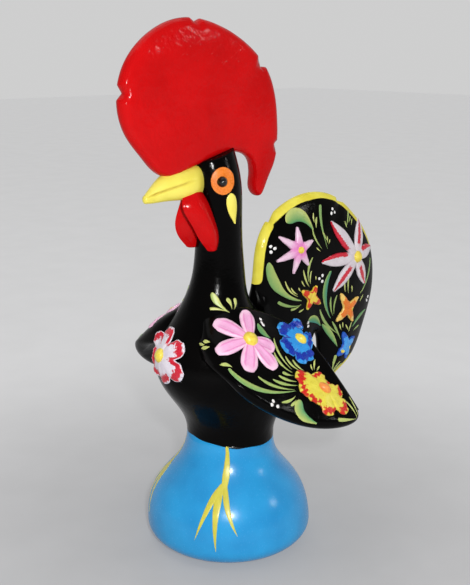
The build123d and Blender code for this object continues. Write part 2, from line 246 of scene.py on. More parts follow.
# two close shades of one paint, in soft patches of the given size in mm
def patchy(light, deep, size):
    def paint(tree, place):
        patches = addNode(tree, "ShaderNodeTexNoise", None, {"Vector": place, "Scale": 1 / (size * mm), "Detail": 3.0})
        ramp = addNode(tree, "ShaderNodeValToRGB", None, (patches,))
        for stop, position, colour in zip(ramp.color_ramp.elements, patchStops, (deep, light)):
            stop.position, stop.color = position, toLinear(colour)
        return ramp
    return paint


# uneven brush edge: a value shifted by noise of the given size in mm
def ragged(tree, place, value, size, amount, detail=2.0):
    grain = addNode(tree, "ShaderNodeTexNoise", None, {"Vector": place, "Scale": 1 / (size * mm), "Detail": detail})
    shift = addNode(tree, mathNode, timesPlus, (grain, amount, -0.5 * amount))
    return addNode(tree, mathNode, plus, (value, shift))


blackPaint = patchy("#050404", "#020202", 30)
bluePaint = patchy("#2CA3E2", "#2492D2", 26)
yellowPaint = patchy("#EEE266", "#E2D450", 18)
# darker ochre for the beak's mouth line: painted shade in the groove
mouthShadePaint = patchy("#C9AE3C", "#BC9E34", 4)
rimPaint = patchy("#EBE05A", "#DDCF44", 12)

# black above and blue below an uneven, tilted paint line round the waist, in mm
waistLine = {"height": 87.8, "lean": (-0.093, -0.033), "ripple": 5.0, "rippleSize": 20, "soft": 0.25}


def bodyPaint(tree, place):
    level = [-slope for slope in waistLine["lean"]] + [1.0]
    lift = addNode(tree, vectorNode, {"operation": "DOT_PRODUCT"}, (place, level))
    lift = ragged(tree, place, lift, waistLine["rippleSize"], -waistLine["ripple"] * mm, 0.0)
    ends = [(waistLine["height"] + side * waistLine["soft"]) * mm for side in (-1, 1)]
    above = addNode(tree, stepNode, softly, (lift, *ends))
    return addNode(tree, mixNode, inColour, {0: above, 6: bluePaint(tree, place), 7: blackPaint(tree, place)})


# black face with a hand-painted yellow border along parts of the outline, in mm
rimBorder = {"ripple": 1.4, "rippleSize": 12, "soft": 0.3, "shows": (0.2, 0.5)}


def tailPaint(tree, place, edgeDistance, rimWidth):
    wavy = ragged(tree, place, edgeDistance, rimBorder["rippleSize"], rimBorder["ripple"], 1.0)
    beyond = addNode(tree, mathNode, minus, (wavy, rimWidth))
    painted = addNode(tree, stepNode, softly, (beyond, -rimBorder["soft"], rimBorder["soft"], *falling))
    there = addNode(tree, stepNode, softly, (rimWidth, *rimBorder["shows"]))
    mask = addNode(tree, mathNode, times, (painted, there))
    return addNode(tree, mixNode, inColour, {0: mask, 6: blackPaint(tree, place), 7: rimPaint(tree, place)})


# painted shade: the pressed mouth line is coloured a darker ochre, standing in for the shade that falls in the groove
def beakPaint(tree, place, crease):
    return addNode(tree, mixNode, inColour, {0: crease, 6: yellowPaint(tree, place), 7: mouthShadePaint(tree, place)})


# the smoothest coat, with small clear highlights and a fine speckle
blackLook = {"grit": 1.9, "gritDepth": 0.11, "rough": 0.11, "roughSpread": 0.08, "shine": 0.07}
blackEnamel = gloss("blackEnamelOnClay", bodyPaint, blackLook)
tailEnamel = gloss("blackEnamelWithYellowRim", tailPaint, {**blackLook, "wave": 13, "waveDepth": 0.35},
                   ("edgeDistance", "rimWidth"))
# a thicker coat that has run level: broad, even shine
blueEnamel = gloss("blueEnamelOnClay", bodyPaint, {
    "wave": 20, "waveDepth": 0.25, "gritDepth": 0.008, "rough": 0.2, "shine": 0.4})
# laid on thick over finger marks, so highlights break up along the rims
redEnamel = gloss("redEnamelOnClay", patchy("#C40B0E", "#B4080A", 34), {
    "wave": 7, "waveDepth": 0.55, "grit": 2.2, "gritDepth": 0.14, "rough": 0.10, "roughSpread": 0.08, "shine": 0.12})
# pale coats with more body: a duller, softer shine
beakEnamel = gloss("paleYellowEnamel", beakPaint, {"wave": 8, "waveDepth": 0.2, "rough": 0.28}, ("crease",))
irisEnamel = gloss("orangeEnamel", patchy("#E8822A", "#DA701C", 5), {"rough": 0.24})
beadLook = {"wave": 3, "waveDepth": 0.25, "rough": 0.3}
beadEnamel = gloss("yellowEnamelBead", patchy("#F2DF5A", "#E4C93E", 3), beadLook)
orangeBead = gloss("orangeEnamelBead", patchy("#F09A4A", "#E27F33", 3), beadLook)
# a single wet drop, almost free of grit
pupilEnamel = gloss("pupilBlackEnamel", patchy("#0B0A0B", "#040404", 4), {"rough": 0.07, "gritDepth": 0.01})
print("materials made")

# body, neck and head in one shell
birdForm = {
    # height, centre along Y, half width, half length
    "levels": [(76, 1.8, 33.2, 33.2), (84, 1.8, 34.2, 34.2), (90, 1.8, 34.4, 34.4), (102, 2.2, 36.8, 38),
               (126, -1.5, 43, 51), (152, -4.5, 45.5, 57.5), (172, -8, 38, 46), (190, -11.8, 27, 29.6),
               (212, -10, 19.6, 21.2), (236, -9.3, 17.6, 18.2), (262, -9.5, 17.2, 17.8), (284, -11, 17, 18.5),
               (300, -12.6, 14.2, 17.5), (316, -13.6, 9, 14.2)],
    "seat": (-15, 304.8), "seatTilt": 16, "edgeRound": 1.6, "edgeTurns": (20, 45, 70, 90), "bottom": 78.0,
    "sides": 120, "rises": 150, "wave": 42, "waveHeight": 0.7,
}


def makeBird():
    b = birdForm
    at = cubicThrough([row[0] for row in b["levels"]], [row[1:] for row in b["levels"]])
    seatY, seatZ = b["seat"]
    rimY, rimLength = at(seatZ)[[0, 2]]
    slope, rings = math.tan(math.radians(b["seatTilt"])), []
    for i in range(b["rises"] + 1):
        ring = []
        for angle in turns(b["sides"]):
            way = np.array((math.cos(angle), math.sin(angle), 0))
            top = seatZ + slope * (rimY + rimLength * way[1] - seatY) - b["edgeRound"]
            z = b["bottom"] + i / b["rises"] * (top - b["bottom"])
            y, halfWidth, halfLength = at(z)
            point = way * (halfWidth, halfLength, 0) + (0, y, z)
            ring.append(point + way * clayWave(point, b["wave"], b["waveHeight"], 1))
        rings.append(ring)
    rim = np.array(rings[-1])
    middle = rim.mean(axis=0)
    for turn in np.radians(b["edgeTurns"]):  # rounded shoulder up to the comb's seat
        inset = b["edgeRound"] * (1 - math.cos(turn)) / np.linalg.norm(rim - middle, axis=1)
        rings.append(rim + (middle - rim) * inset[:, None] + (0, 0, b["edgeRound"] * math.sin(turn)))
    return loftPiece("body", rings, blackEnamel)


body = dress(makeBird(), "black_paint", "body_shell", "head_shell")
print("body made")

# bell foot: flat underside, rounded hem, a long S up to the waist and a tucked-in top
footForm = {
    "floorRadius": 46, "floorShares": (0.35, 0.7, 1), "radius": 65, "widest": 13.6, "hemSteps": 12,
    "waist": 34.2, "height": 87, "shoulder": 43, "neck": 33, "riseSteps": 60, "tuck": 7,
    "lean": (-0.7, -0.8), "waistBack": 1.8, "sides": 144, "wave": 55, "waveHeight": 0.6,
}


def makeFoot():
    f = footForm
    profile = [(share * f["floorRadius"], 0) for share in f["floorShares"]]
    for i in range(1, f["hemSteps"] + 1):
        turn = math.pi / 2 * (i / f["hemSteps"] - 1)
        profile.append((f["floorRadius"] + (f["radius"] - f["floorRadius"]) * math.cos(turn),
                        f["widest"] * (1 + math.sin(turn))))
    pulls = np.array([(f["radius"], f["widest"]), (f["radius"], f["widest"] + f["shoulder"]),
                      (f["waist"], f["height"] - f["neck"]), (f["waist"], f["height"])])
    for i in range(1, f["riseSteps"] + 1):
        t = i / f["riseSteps"]
        profile.append(np.array(((1 - t) ** 3, 3 * t * (1 - t) ** 2, 3 * t * t * (1 - t), t ** 3)) @ pulls)
    inner = f["waist"] - f["tuck"]
    profile += [(inner, f["height"]), (inner, f["height"] + f["tuck"])]
    rings = []
    for radius, z in profile:
        rise, ring = min(1, z / f["height"]), []
        shift = math.sin(math.pi * rise) * np.array((*f["lean"], 0)) + (0, f["waistBack"] * rise ** 2, z)
        for angle in turns(f["sides"]):
            way = np.array((math.cos(angle), math.sin(angle), 0))
            swell = clayWave(radius * way + (0, 0, z), f["wave"], f["waveHeight"], 2) * min(1, z / f["widest"])
            ring.append((radius + swell) * way + shift)
        rings.append(ring)
    return loftPiece("bellFoot", rings, blueEnamel)


foot = dress(makeFoot(), "blue_paint", "bell_foot")
print("foot made")


# flat hand-cut slabs: outline, V notches, rounded rim and a fuller middle
def inwardOf(line):
    along = np.roll(line, -1, axis=0) - np.roll(line, 1, axis=0)
    turned = np.stack((-along[:, 1], along[:, 0]), axis=1) / np.linalg.norm(along, axis=1)[:, None]
    area = np.sum(line[:, 0] * np.roll(line[:, 1], -1) - np.roll(line[:, 0], -1) * line[:, 1])
    return turned if area > 0 else -turned


# distance from each point to the nearest of a line's samples, and which one that is
def nearestOn(line, points):
    away = np.linalg.norm(np.array(points)[:, None, :] - line[None, :, :], axis=2)
    return away.min(axis=1), away.argmin(axis=1)


def sampleStep(line):
    return np.linalg.norm(np.diff(line, axis=0), axis=1).mean()


def insideOf(line, points):
    x, y = points[:, 0:1], points[:, 1:2]
    ax, ay = line[:, 0], line[:, 1]
    bx, by = np.roll(ax, -1), np.roll(ay, -1)
    over = (ay > y) != (by > y)
    crossing = ax + (y - ay) * (bx - ax) / np.where(by == ay, 1e-9, by - ay)
    return (over & (x < crossing)).sum(axis=1) % 2 == 1


def notchedOutline(form):
    outline = closedCurve(form["outline"], form["samples"])
    step, inward, cut = sampleStep(outline), inwardOf(outline), outline.copy()
    for place, before, after, depth in form["notches"]:
        centre = nearestOn(outline, [place])[1][0]
        for shift in range(-int(before / step), int(after / step) + 1):
            away = 1 + shift * step / before if shift < 0 else 1 - shift * step / after
            i = (centre + shift) % len(outline)
            cut[i] = outline[i] + inward[centre] * depth * max(0, away)
    return outline, cut


# how wide the painted border is at each place on the outline, with rounded ends
def rimWidths(form, smooth):
    wide, step = np.zeros(len(smooth)), sampleStep(smooth)
    for first, last, width in form.get("painted", ()):
        start, end = nearestOn(smooth, [first, last])[1]
        for i in range(start, end + 1):
            wide[i] = width * quarterRound(min(i - start, end - i) * step / width)
    return wide


slabGrid = {
    "spacing": 3.2, "rowPitch": 0.87, "rowGap": 0.6,  # points inside the rim, and their gap to it
    "kept": 0.93, "edge": 0.02, "weld": 1e-5, "merge": 0.002, "waveFrom": 9, "waveFade": 6,
}


def makeSlab(name, form, material, thickness):
    g = slabGrid
    smooth, outline = notchedOutline(form)
    inward, rows = inwardOf(smooth), [outline]
    for inset in form["rimInsets"]:
        row = outline + inward * inset
        rows.append(row[(nearestOn(outline, row)[0] > g["kept"] * inset) & insideOf(outline, row)])
    pitch, low = g["spacing"] * np.array((1, g["rowPitch"])), outline.min(axis=0)
    across, up = ((outline.max(axis=0) - low) / pitch).astype(int) + 1
    field = np.array([low + pitch * (i + 0.5 * (j % 2), j) for j in range(up) for i in range(across)])
    gap = form["rimInsets"][-1] + g["rowGap"] * g["spacing"]
    rows.append(field[(nearestOn(outline, field)[0] > gap) & insideOf(outline, field)])
    flat = [Vector(p) for p in np.concatenate(rows)]
    laid = delaunay_2d_cdt(flat, [], [list(range(len(outline)))], 1, g["weld"])
    spots, faces, count = np.array([tuple(p) for p in laid[0]]), laid[2], len(laid[0])
    away = nearestOn(outline, spots)[0]
    edge, index = nearestOn(smooth, spots)
    wide, points = rimWidths(form, smooth)[index], []
    for side in (1, -1):
        for (y, z), inset in zip(spots, away):
            half = thickness(form, y, z, inset) if inset > g["edge"] else 0
            wave = clayWave((side * g["waveFrom"], y, z), form["wave"], form["waveHeight"], 4)
            points.append((side * (half + wave * min(1, inset / g["waveFade"])), y, z))
    bothFaces = [tuple(face) for face in faces] + [tuple(i + count for i in reversed(face)) for face in faces]
    values = {"edgeDistance": [*edge, *edge], "rimWidth": [*wide, *wide]}
    return makePiece(name, points, bothFaces, material, values, merge=g["merge"])


# comb: an even slab with a well rounded rim
combForm = {
    # (Y, Z) from the front root over the top to the lobe at the back
    "outline": [(-60, 293), (-77, 307), (-90, 324), (-95, 343), (-90, 367), (-68, 390), (-41, 399.5), (-11, 395.5),
                (15, 383.5), (37.5, 362), (46.5, 328), (44, 298), (34.5, 280.5), (26.8, 270.8), (22.6, 275.5),
                (22.6, 287), (20, 298), (9, 304.8), (-15, 302.6), (-39, 296.2)],
    # place, reach before and after it along the outline, depth
    "notches": [((-94.5, 351), 5, 5, 4.2), ((-31, 399.5), 5, 5, 3), ((32, 368.8), 7.5, 4.5, 4.6),
                ((46, 309), 2.5, 7, 3)],
    "samples": 620, "rimInsets": (0.12, 0.4, 0.9, 1.7, 2.8, 4.2, 6),
    "rimRound": 6.0, "half": 7.0, "edgeHalf": 5.8, "dome": 34, "wave": 22, "waveHeight": 0.6,
    "lowRound": 2.6, "lowFrom": 312, "lowFull": 292,  # the lower rim is cut squarer
}


def combHalf(form, y, z, away):
    lower = clamped((form["lowFrom"] - z) / (form["lowFrom"] - form["lowFull"]))
    rimRound = form["rimRound"] + (form["lowRound"] - form["rimRound"]) * lower
    half = form["edgeHalf"] + (form["half"] - form["edgeHalf"]) * quarterRound(away / form["dome"]) ** 2
    return half * quarterRound(away / rimRound)


dress(makeSlab("comb", combForm, redEnamel, combHalf), "red_paint", "comb")

# tail: a fat lens with a narrower rounded rim
tailForm = {
    # (Y, Z) from the saddle up the front, over the top and down to the lobe
    "outline": [(22.5, 184), (25, 205), (28, 228), (37.5, 248), (56, 261), (82, 267.5), (110, 263), (135, 246),
                (153, 225), (162, 198), (161, 172), (152.5, 147), (143, 127), (132.5, 115), (117, 106), (106, 101.5),
                (99.5, 108), (99, 122), (98, 138), (96, 146), (93, 149), (90.4, 145.4), (86, 142.4), (77, 141.2),
                (64, 142.8), (50, 148.5), (38, 157.5), (27, 169)],
    "notches": [((40, 250), 1.5, 10, 3.2), ((115.5, 260.5), 1.5, 9, 2.6)],
    "samples": 620, "rimInsets": (0.12, 0.4, 0.9, 1.6, 2.6, 3.8, 5.2, 7),
    "rimRound": 4.2, "rimHalf": 4.2, "half": 13.0, "swellFrom": 2, "swell": 46, "swellPower": 1.7,
    "wave": 30, "waveHeight": 0.5,
    # first place, last place and width of each painted run of the rim
    "painted": [((25, 201.5), (158, 212), 4.6), ((138.5, 121), (106, 101.5), 6.0)],
    # the front root spreads where it meets the back
    "flareFrom": 200, "flareDepth": 17, "flare": 1.3, "flareBack": (30, 52),
}


def tailHalf(form, y, z, away):
    lower, (near, far) = clamped((form["flareFrom"] - z) / form["flareDepth"]), form["flareBack"]
    flare = 1 + form["flare"] * lower * lower * (3 - 2 * lower) * clamped((far - y) / (far - near))
    rim = form["rimHalf"] * quarterRound(away / (form["rimRound"] * flare))
    inside = max(0, away - form["swellFrom"]) / form["swell"]
    return max(rim * flare, rim + (form["half"] - form["rimHalf"]) * quarterRound(inside) ** form["swellPower"])


tail = dress(makeSlab("tail", tailForm, tailEnamel, tailHalf), "black_paint", "tail")
print("comb and tail made")

# wings: flat rounded sections swept from the shoulder to the tip
wingForm = {
    # root, rim and thickness at each station from front to back
    "stations": [((18.5, -34, 182), (22.5, -45.5, 162.5), 6), ((10, -30, 190), (63, -43, 147), 10.5),
                 ((20, -12, 194), (78, -14, 124), 11), ((23, 12, 186), (90, 18, 112), 11),
                 ((42, 32, 172), (91, 46, 109.4), 10), ((62, 42, 152), (86.0, 54.3, 115.8), 7.0)],
    "crown": 2.5, "sections": 110, "side": 16, "bend": 9, "endRound": 2.8, "endTurns": (0, 30, 60),
    "nearby": 0.02, "wave": 30, "waveHeight": 0.6,
}


def makeWing():
    w, last = wingForm, len(wingForm["stations"]) - 1
    at = cubicThrough(range(last + 1), [root + rim + (thick,) for root, rim, thick in w["stations"]])

    def section(t, shrink, shift):
        row, before, after = at(t), at(max(0, t - w["nearby"])), at(min(last, t + w["nearby"]))
        root, rim = row[0:3], row[3:6]
        along = (after - before)[0:3] + (after - before)[3:6]
        along /= np.linalg.norm(along)
        length = np.linalg.norm(rim - root)
        chord = (rim - root) / length
        out = np.cross(along, chord)
        out /= np.linalg.norm(out)
        middle, thin = (root + rim) / 2 + along * shift, row[6] / 2 - shrink
        flat, ring = length / 2 - shrink - thin, []
        for way in (1, -1):  # outer face from root to rim and its bend, then the inner face back
            for i in range(w["side"] + 1):
                c = way * flat * (2 * i / w["side"] - 1)
                ring.append((c, way * (thin + w["crown"] * (1 - (c / flat) ** 2))))
            for i in range(1, w["bend"]):
                turn = math.pi * (0.5 - i / w["bend"])
                ring.append((way * (flat + thin * math.cos(turn)), way * thin * math.sin(turn)))
        points = [middle + chord * c + out * n for c, n in ring]
        return [point + out * clayWave(point, w["wave"], w["waveHeight"], 5) for point in points]

    ends = [(w["endRound"] * (1 - math.sin(turn)), w["endRound"] * math.cos(turn))
            for turn in np.radians(w["endTurns"])]
    rings = [section(0, shrink, -shift) for shrink, shift in ends]
    rings += [section(last * i / w["sections"], 0, 0) for i in range(w["sections"] + 1)]
    rings += [section(last, shrink, shift) for shrink, shift in reversed(ends)]
    return loftPiece("wingLeft", rings, blackEnamel)


wingLeft = makeWing()
wingRight = mirrored(wingLeft, "wingRight")
dress(wingLeft, "black_paint", "wing_left")
dress(wingRight, "black_paint", "wing_right")
print("wings made")

# beak: oval sections from the face to the tip, with a mouth line pressed in on both sides
beakForm = {
    # Y, Z, half width, half height
    "stations": [(-20, 287.5, 4.5, 8.5), (-27, 287.0, 6.2, 11.0), (-34, 286.8, 10.0, 11.8), (-45, 286, 10.6, 11.2),
                 (-60, 284.5, 6.5, 9.4), (-70, 280.5, 3.8, 5.6), (-75, 278.2, 2.4, 3.0)],
    "mouthFront": (-73, 280.5), "mouthRear": (-40, 289.5), "mouthDepth": 1.2, "mouthHalf": 0.7,
    "mouthOver": 0.05, "mouthFades": (6, 4),  # how far the line runs past its ends, and how sharply it ends
    "sides": 110, "sections": 70, "tip": 1.6,
}


def makeBeak():
    b = beakForm
    knots = [-row[0] for row in b["stations"]]
    at = cubicThrough(knots, [row[1:] for row in b["stations"]])
    (frontY, frontZ), (rearY, rearZ), (frontFade, rearFade) = b["mouthFront"], b["mouthRear"], b["mouthFades"]
    rings, crease = [], []
    for ahead, shrink in tippedSteps(knots[0], knots[-1], b["sections"], b["tip"]):
        middleZ, halfWidth, halfHeight = at(min(ahead, knots[-1]))
        share = (-ahead - frontY) / (rearY - frontY)
        lineZ = frontZ + (rearZ - frontZ) * share
        fade = clamped((share + b["mouthOver"]) * frontFade) * clamped((1 + b["mouthOver"] - share) * rearFade)
        ring = []
        for angle in turns(b["sides"]):
            x, z = halfWidth * shrink * math.cos(angle), middleZ + halfHeight * shrink * math.sin(angle)
            press = fade * math.exp(-((z - lineZ) / b["mouthHalf"]) ** 2)
            ring.append((x - math.copysign(min(abs(x), b["mouthDepth"] * press), x), -ahead, z))
            crease.append(press)
        rings.append(ring)
    return loftPiece("beak", rings, beakEnamel, {"crease": crease + [0, 0]})


dress(makeBeak(), "pale_yellow_paint", "beak")

# wattles: drops that hang from under the beak, with a soft ridge down the outer side
wattleForm = {
    # height, centre across, centre Y, half thickness, half width; the two are hand-shaped and differ
    "Left": [(283, 4.5, -37, 3.5, 6.0), (273, 7.6, -37.2, 5.8, 11.6), (258, 9.6, -31, 7.0, 11.2),
             (245, 10, -25.6, 5.8, 9.0), (238.5, 10, -23.4, 3.4, 5.6)],
    "Right": [(283, 4.5, -34, 3.5, 5.0), (273, 7.6, -32, 5.8, 6.4), (258, 9.6, -31, 7.0, 11.2),
              (245, 10, -27.6, 5.8, 10.8), (238.5, 10, -25.4, 3.4, 7.2)],
    "ridge": (1.9, 1.25), "sides": 56, "rises": 46, "tip": 2.4,
}


def makeWattle(label, way):
    w, levels = wattleForm, wattleForm[label]
    at = cubicThrough([-row[0] for row in levels], [row[1:] for row in levels])
    top, low, rings = levels[0][0], levels[-1][0], []
    for z, shrink in tippedSteps(top, low, w["rises"], w["tip"]):
        x, y, thick, width = at(-max(z, low))
        ring = []
        for angle in turns(w["sides"]):
            out, back = (math.copysign(abs(part) ** power, part)
                         for part, power in zip((math.cos(angle), math.sin(angle)), w["ridge"]))
            ring.append((way * (x + thick * shrink * out), y + width * shrink * back, z))
        rings.append(ring)
    return loftPiece("wattle" + label, rings, redEnamel)


for label, way in (("Left", 1), ("Right", -1)):
    dress(makeWattle(label, way), "red_paint", "wattle_" + label.lower())
print("beak and wattles made")

# the irises stay as the CAD discs, with enamel in place of the plain slot colour
for side in ("left", "right"):
    bpy.data.objects["eye_" + side].data.materials[0] = irisEnamel


# node trees that press clay and paint on to the shells
def newTree(name, inputs):
    tree = bpy.data.node_groups.new(name, "GeometryNodeTree")
    for label, kind in [("Geometry", "NodeSocketGeometry")] + inputs:
        tree.interface.new_socket(label, in_out="INPUT", socket_type=kind)
    tree.interface.new_socket("Geometry", in_out="OUTPUT", socket_type="NodeSocketGeometry")
    return tree, addNode(tree, "NodeGroupInput").outputs


sheetInputs = [("Host", "NodeSocketObject"), ("Second Host", "NodeSocketObject"), ("Middle", "NodeSocketVector"),
               ("Right", "NodeSocketVector"), ("Up", "NodeSocketVector"), ("Facing", "NodeSocketVector"),
               ("Stand Off", "NodeSocketFloat"), ("Ray Length", "NodeSocketFloat"), ("Fall Back", "NodeSocketFloat")]
paintInput = [("Material", "NodeSocketMaterial")]


# lays what is drawn on a flat sheet down on the host's surface, keeping its height above the sheet
def makeLayOnHost():
    tree, given = newTree("layOnHost", sheetInputs)
    hosts = addNode(tree, "GeometryNodeJoinGeometry")
    for label in ("Host", "Second Host"):
        info = addNode(tree, "GeometryNodeObjectInfo", None, {"Object": given[label]})
        tree.links.new(info.outputs["Geometry"], hosts.inputs["Geometry"])
    position = addNode(tree, "GeometryNodeInputPosition")
    drawn = addNode(tree, "ShaderNodeSeparateXYZ", None, (position,)).outputs
    onSheet = addNode(tree, vectorNode, timesPlus, (given["Right"], drawn["X"], given["Middle"]))
    onSheet = addNode(tree, vectorNode, timesPlus, (given["Up"], drawn["Y"], onSheet))
    start = addNode(tree, vectorNode, timesPlus, (given["Facing"], given["Stand Off"], onSheet))
    free = addNode(tree, vectorNode, timesPlus, (given["Facing"], given["Fall Back"], onSheet))
    back = addNode(tree, vectorNode, {"operation": "SCALE"}, {0: given["Facing"], "Scale": -1.0})
    ray = addNode(tree, "GeometryNodeRaycast", None, {
        "Target Geometry": hosts, "Source Position": start, "Ray Direction": back, "Ray Length": given["Ray Length"]})
    landed = addNode(tree, "GeometryNodeSwitch", {"input_type": "VECTOR"}, {
        "Switch": ray.outputs["Is Hit"], "False": free, "True": ray.outputs["Hit Position"]})
    risen = addNode(tree, vectorNode, timesPlus, (given["Facing"], drawn["Z"], landed))
    laid = addNode(tree, "GeometryNodeSetPosition", None, {"Geometry": given["Geometry"], "Position": risen})
    addNode(tree, "NodeGroupOutput", None, {"Geometry": laid})
    return tree


layOnHost = makeLayOnHost()


def laidDown(tree, geometry, given):
    inputs = {label: given[label] for label, kind in sheetInputs}
    laid = addNode(tree, "GeometryNodeGroup", {"node_tree": layOnHost}, {"Geometry": geometry, **inputs})
    painted = addNode(tree, "GeometryNodeSetMaterial", None, {"Geometry": laid, "Material": given["Material"]})
    addNode(tree, "NodeGroupOutput", None, {"Geometry": painted})


# petals, beads and dots: one shape on every point, turned and sized, then pressed on to the host
def makePressTree():
    tree, given = newTree("pressedClay", [("Shape", "NodeSocketObject")] + sheetInputs + paintInput)
    shape = addNode(tree, "GeometryNodeObjectInfo", None, {"Object": given["Shape"]}).outputs["Geometry"]
    turn, broad, long = (addNode(tree, "GeometryNodeInputNamedAttribute", {"data_type": "FLOAT"}, {"Name": name})
                         for name in ("turn", "broad", "long"))
    euler = addNode(tree, "ShaderNodeCombineXYZ", None, {"Z": turn})
    rotation = addNode(tree, "FunctionNodeEulerToRotation", None, {"Euler": euler})
    size = addNode(tree, "ShaderNodeCombineXYZ", None, (broad, long, 1.0))
    copies = addNode(tree, "GeometryNodeInstanceOnPoints", None, {
        "Points": given["Geometry"], "Instance": shape, "Rotation": rotation, "Scale": size})
    laidDown(tree, addNode(tree, "GeometryNodeRealizeInstances", None, {"Geometry": copies}), given)
    return tree


# brush strokes: a low rounded bead of paint along each line, as wide as the line says
def makeBrushTree():
    tree, given = newTree("brushStrokes", [("Relief", "NodeSocketFloat")] + sheetInputs + paintInput)
    lines = addNode(tree, "GeometryNodeMeshToCurve", None, {"Mesh": given["Geometry"]})
    ring = addNode(tree, "GeometryNodeCurvePrimitiveCircle", None, {"Resolution": 14, "Radius": 1.0})
    position = addNode(tree, "GeometryNodeInputPosition")
    spot = addNode(tree, "ShaderNodeSeparateXYZ", None, (position,)).outputs
    for label, value in (("across", spot["X"]), ("dome", spot["Y"])):
        ring = addNode(tree, "GeometryNodeStoreNamedAttribute", {"data_type": "FLOAT", "domain": "POINT"}, {
            "Geometry": ring, "Name": label, "Value": value})
    halfWidth, dome = (addNode(tree, "GeometryNodeInputNamedAttribute", {"data_type": "FLOAT"}, {"Name": name})
                       for name in ("halfWidth", "dome"))
    bead = addNode(tree, "GeometryNodeCurveToMesh", None, {
        "Curve": lines, "Profile Curve": ring, "Fill Caps": True, "Scale": halfWidth})
    low = addNode(tree, mathNode, times, (dome, given["Relief"]))
    place = addNode(tree, "ShaderNodeCombineXYZ", None, (spot["X"], spot["Y"], low))
    flat = addNode(tree, "GeometryNodeSetPosition", None, {"Geometry": bead, "Position": place})
    laidDown(tree, addNode(tree, "GeometryNodeRealizeInstances", None, {"Geometry": flat}), given)
    return tree


pressTree = makePressTree()
brushTree = makeBrushTree()


# a flat drawing sheet: its middle in mm, the way it faces, its hosts, and how far in front of it and
# behind it they may lie
def sheet(middle, facing, host, secondHost, front, behind, fallBack=0):
    facing = Vector(facing).normalized()
    right = Vector((0, 0, 1)).cross(facing).normalized()
    return {"Host": host, "Second Host": secondHost, "Middle": Vector(middle) * mm, "Right": right,
            "Up": facing.cross(right), "Facing": facing, "Stand Off": front * mm, "Ray Length": (front + behind) * mm,
            "Fall Back": -fallBack * mm}


# a sheet on the left and its mirror image on the right
def bothSides(onSheet):
    turned = {key: value * Vector((-1, 1, 1)) for key, value in onSheet.items() if isinstance(value, Vector)}
    hosts = {key: bpy.data.objects[onSheet[key].name.replace("Left", "Right")]
             for key in ("Host", "Second Host") if onSheet[key]}
    return [("Left", onSheet), ("Right", {**onSheet, **turned, **hosts})]


# runs a tree on a base mesh and keeps the result as a plain piece
def grown(name, base, tree, settings):
    modifier = base.modifiers.new("grow", "NODES")
    modifier.node_group = tree
    for item in tree.interface.items_tree:
        if item.in_out == "INPUT" and settings.get(item.name) is not None:
            modifier[item.identifier] = settings[item.name]
    mesh = bpy.data.meshes.new_from_object(base.evaluated_get(bpy.context.evaluated_depsgraph_get()))
    mesh.name = name
    finishMesh(mesh)
    bpy.data.objects.remove(base)
    return addObject(name, mesh)


def pressed(name, shape, places, values, onSheet, material):
    base = makePiece(name + "Base", [(x, y, 0) for x, y in places], [], None, values)
    piece = grown(name, base, pressTree, {"Shape": shape, "Material": material, **onSheet})
    bpy.data.objects.remove(shape)
    return piece


# petals: half width from the middle out, depth of the groove, waviness of the edge, and how full its side is
petalShapes = {
    "spoon": {"widths": (0.50, 0.57, 0.69, 0.84, 0.96, 1.0, 0.94, 0.63), "groove": 0.50, "ruffle": 0.0, "side": 0.9},
    "daisy": {"widths": (0.55, 0.72, 0.95, 1.0, 0.78, 0.34), "groove": 0.12, "ruffle": 0.03, "side": 0.6},
    "star": {"widths": (1.50, 1.28, 0.95, 0.74, 0.56, 0.30), "groove": 0.0, "ruffle": 0.04, "side": 0.8},
    "broad": {"widths": (0.48, 0.58, 0.73, 0.88, 0.98, 1.0, 0.95, 0.65), "groove": 0.22, "ruffle": 0.07, "side": 0.9},
    "ruffled": {"widths": (0.62, 0.80, 0.96, 1.0, 0.98, 0.72), "groove": 0.15, "ruffle": 0.16, "side": 0.9},
    "cross": {"widths": (1.25, 1.10, 0.92, 0.80, 0.64, 0.36), "groove": 0.0, "ruffle": 0.10, "side": 0.7},
}
petalForm = {
    "reach": 20.0, "relief": 2.6, "sunk": 0.6, "along": 26, "round": 36,
    "tipFrom": 0.94, "tipLeast": 0.02, "endRise": 0.55, "riseShift": 0.12,
    "grooveHalf": 0.42, "grooveFrom": 0.2, "grooveTo": 0.95, "grooveFades": (5, 6),
    "waves": ((21, 2, 0, 1.0), (13, 0, 5, 0.6)),  # rate along, slant across, start and share of each ruffle
    "lobe": 0.8, "lobeFrom": 0.6,
}


# one petal from the flower's middle out along Y, with its place across and along kept for the paint
def makePetal(style, halfWidth):
    p, shape = petalForm, petalShapes[style]
    at = cubicThrough(np.linspace(0, p["tipFrom"], len(shape["widths"])), [(width,) for width in shape["widths"]])
    rings, across, along = [], [], []
    for i in range(p["along"] + 1):
        v = math.sin(math.pi / 2 * i / p["along"])
        width = halfWidth * at(min(v, p["tipFrom"]))[0]
        tip = max(0, v - p["tipFrom"]) / (1 - p["tipFrom"])
        width *= max(p["tipLeast"], math.sqrt(max(0, 1 - tip ** 2)))
        back = p["relief"] * (p["endRise"] + (1 - p["endRise"]) * math.sin(math.pi * min(1, v + p["riseShift"])))
        nearFade, farFade = p["grooveFades"]
        hollow = shape["groove"] * clamped((v - p["grooveFrom"]) * nearFade) * clamped((p["grooveTo"] - v) * farFade)
        ring = []
        for angle in turns(p["round"]):
            u, side = math.cos(angle), math.sin(angle)
            wave = sum(part * math.sin(rate * v + slant * u + start) for rate, slant, start, part in p["waves"])
            lobe = shape["ruffle"] * p["lobe"] * math.cos(2 * math.pi * u) * max(0, v - p["lobeFrom"])
            top = back * (1 - hollow * math.exp(-(u / p["grooveHalf"]) ** 2))
            rise = top * side ** shape["side"] if side > 0 else p["sunk"] * side
            ring.append((u * width * (1 + shape["ruffle"] * wave * v), p["reach"] * (v + lobe), rise))
            across.append(u)
            along.append(v)
        rings.append(ring)
    return loftPiece("petal", rings, None, {"across": across + [0, 0], "along": along + [0, 1]})


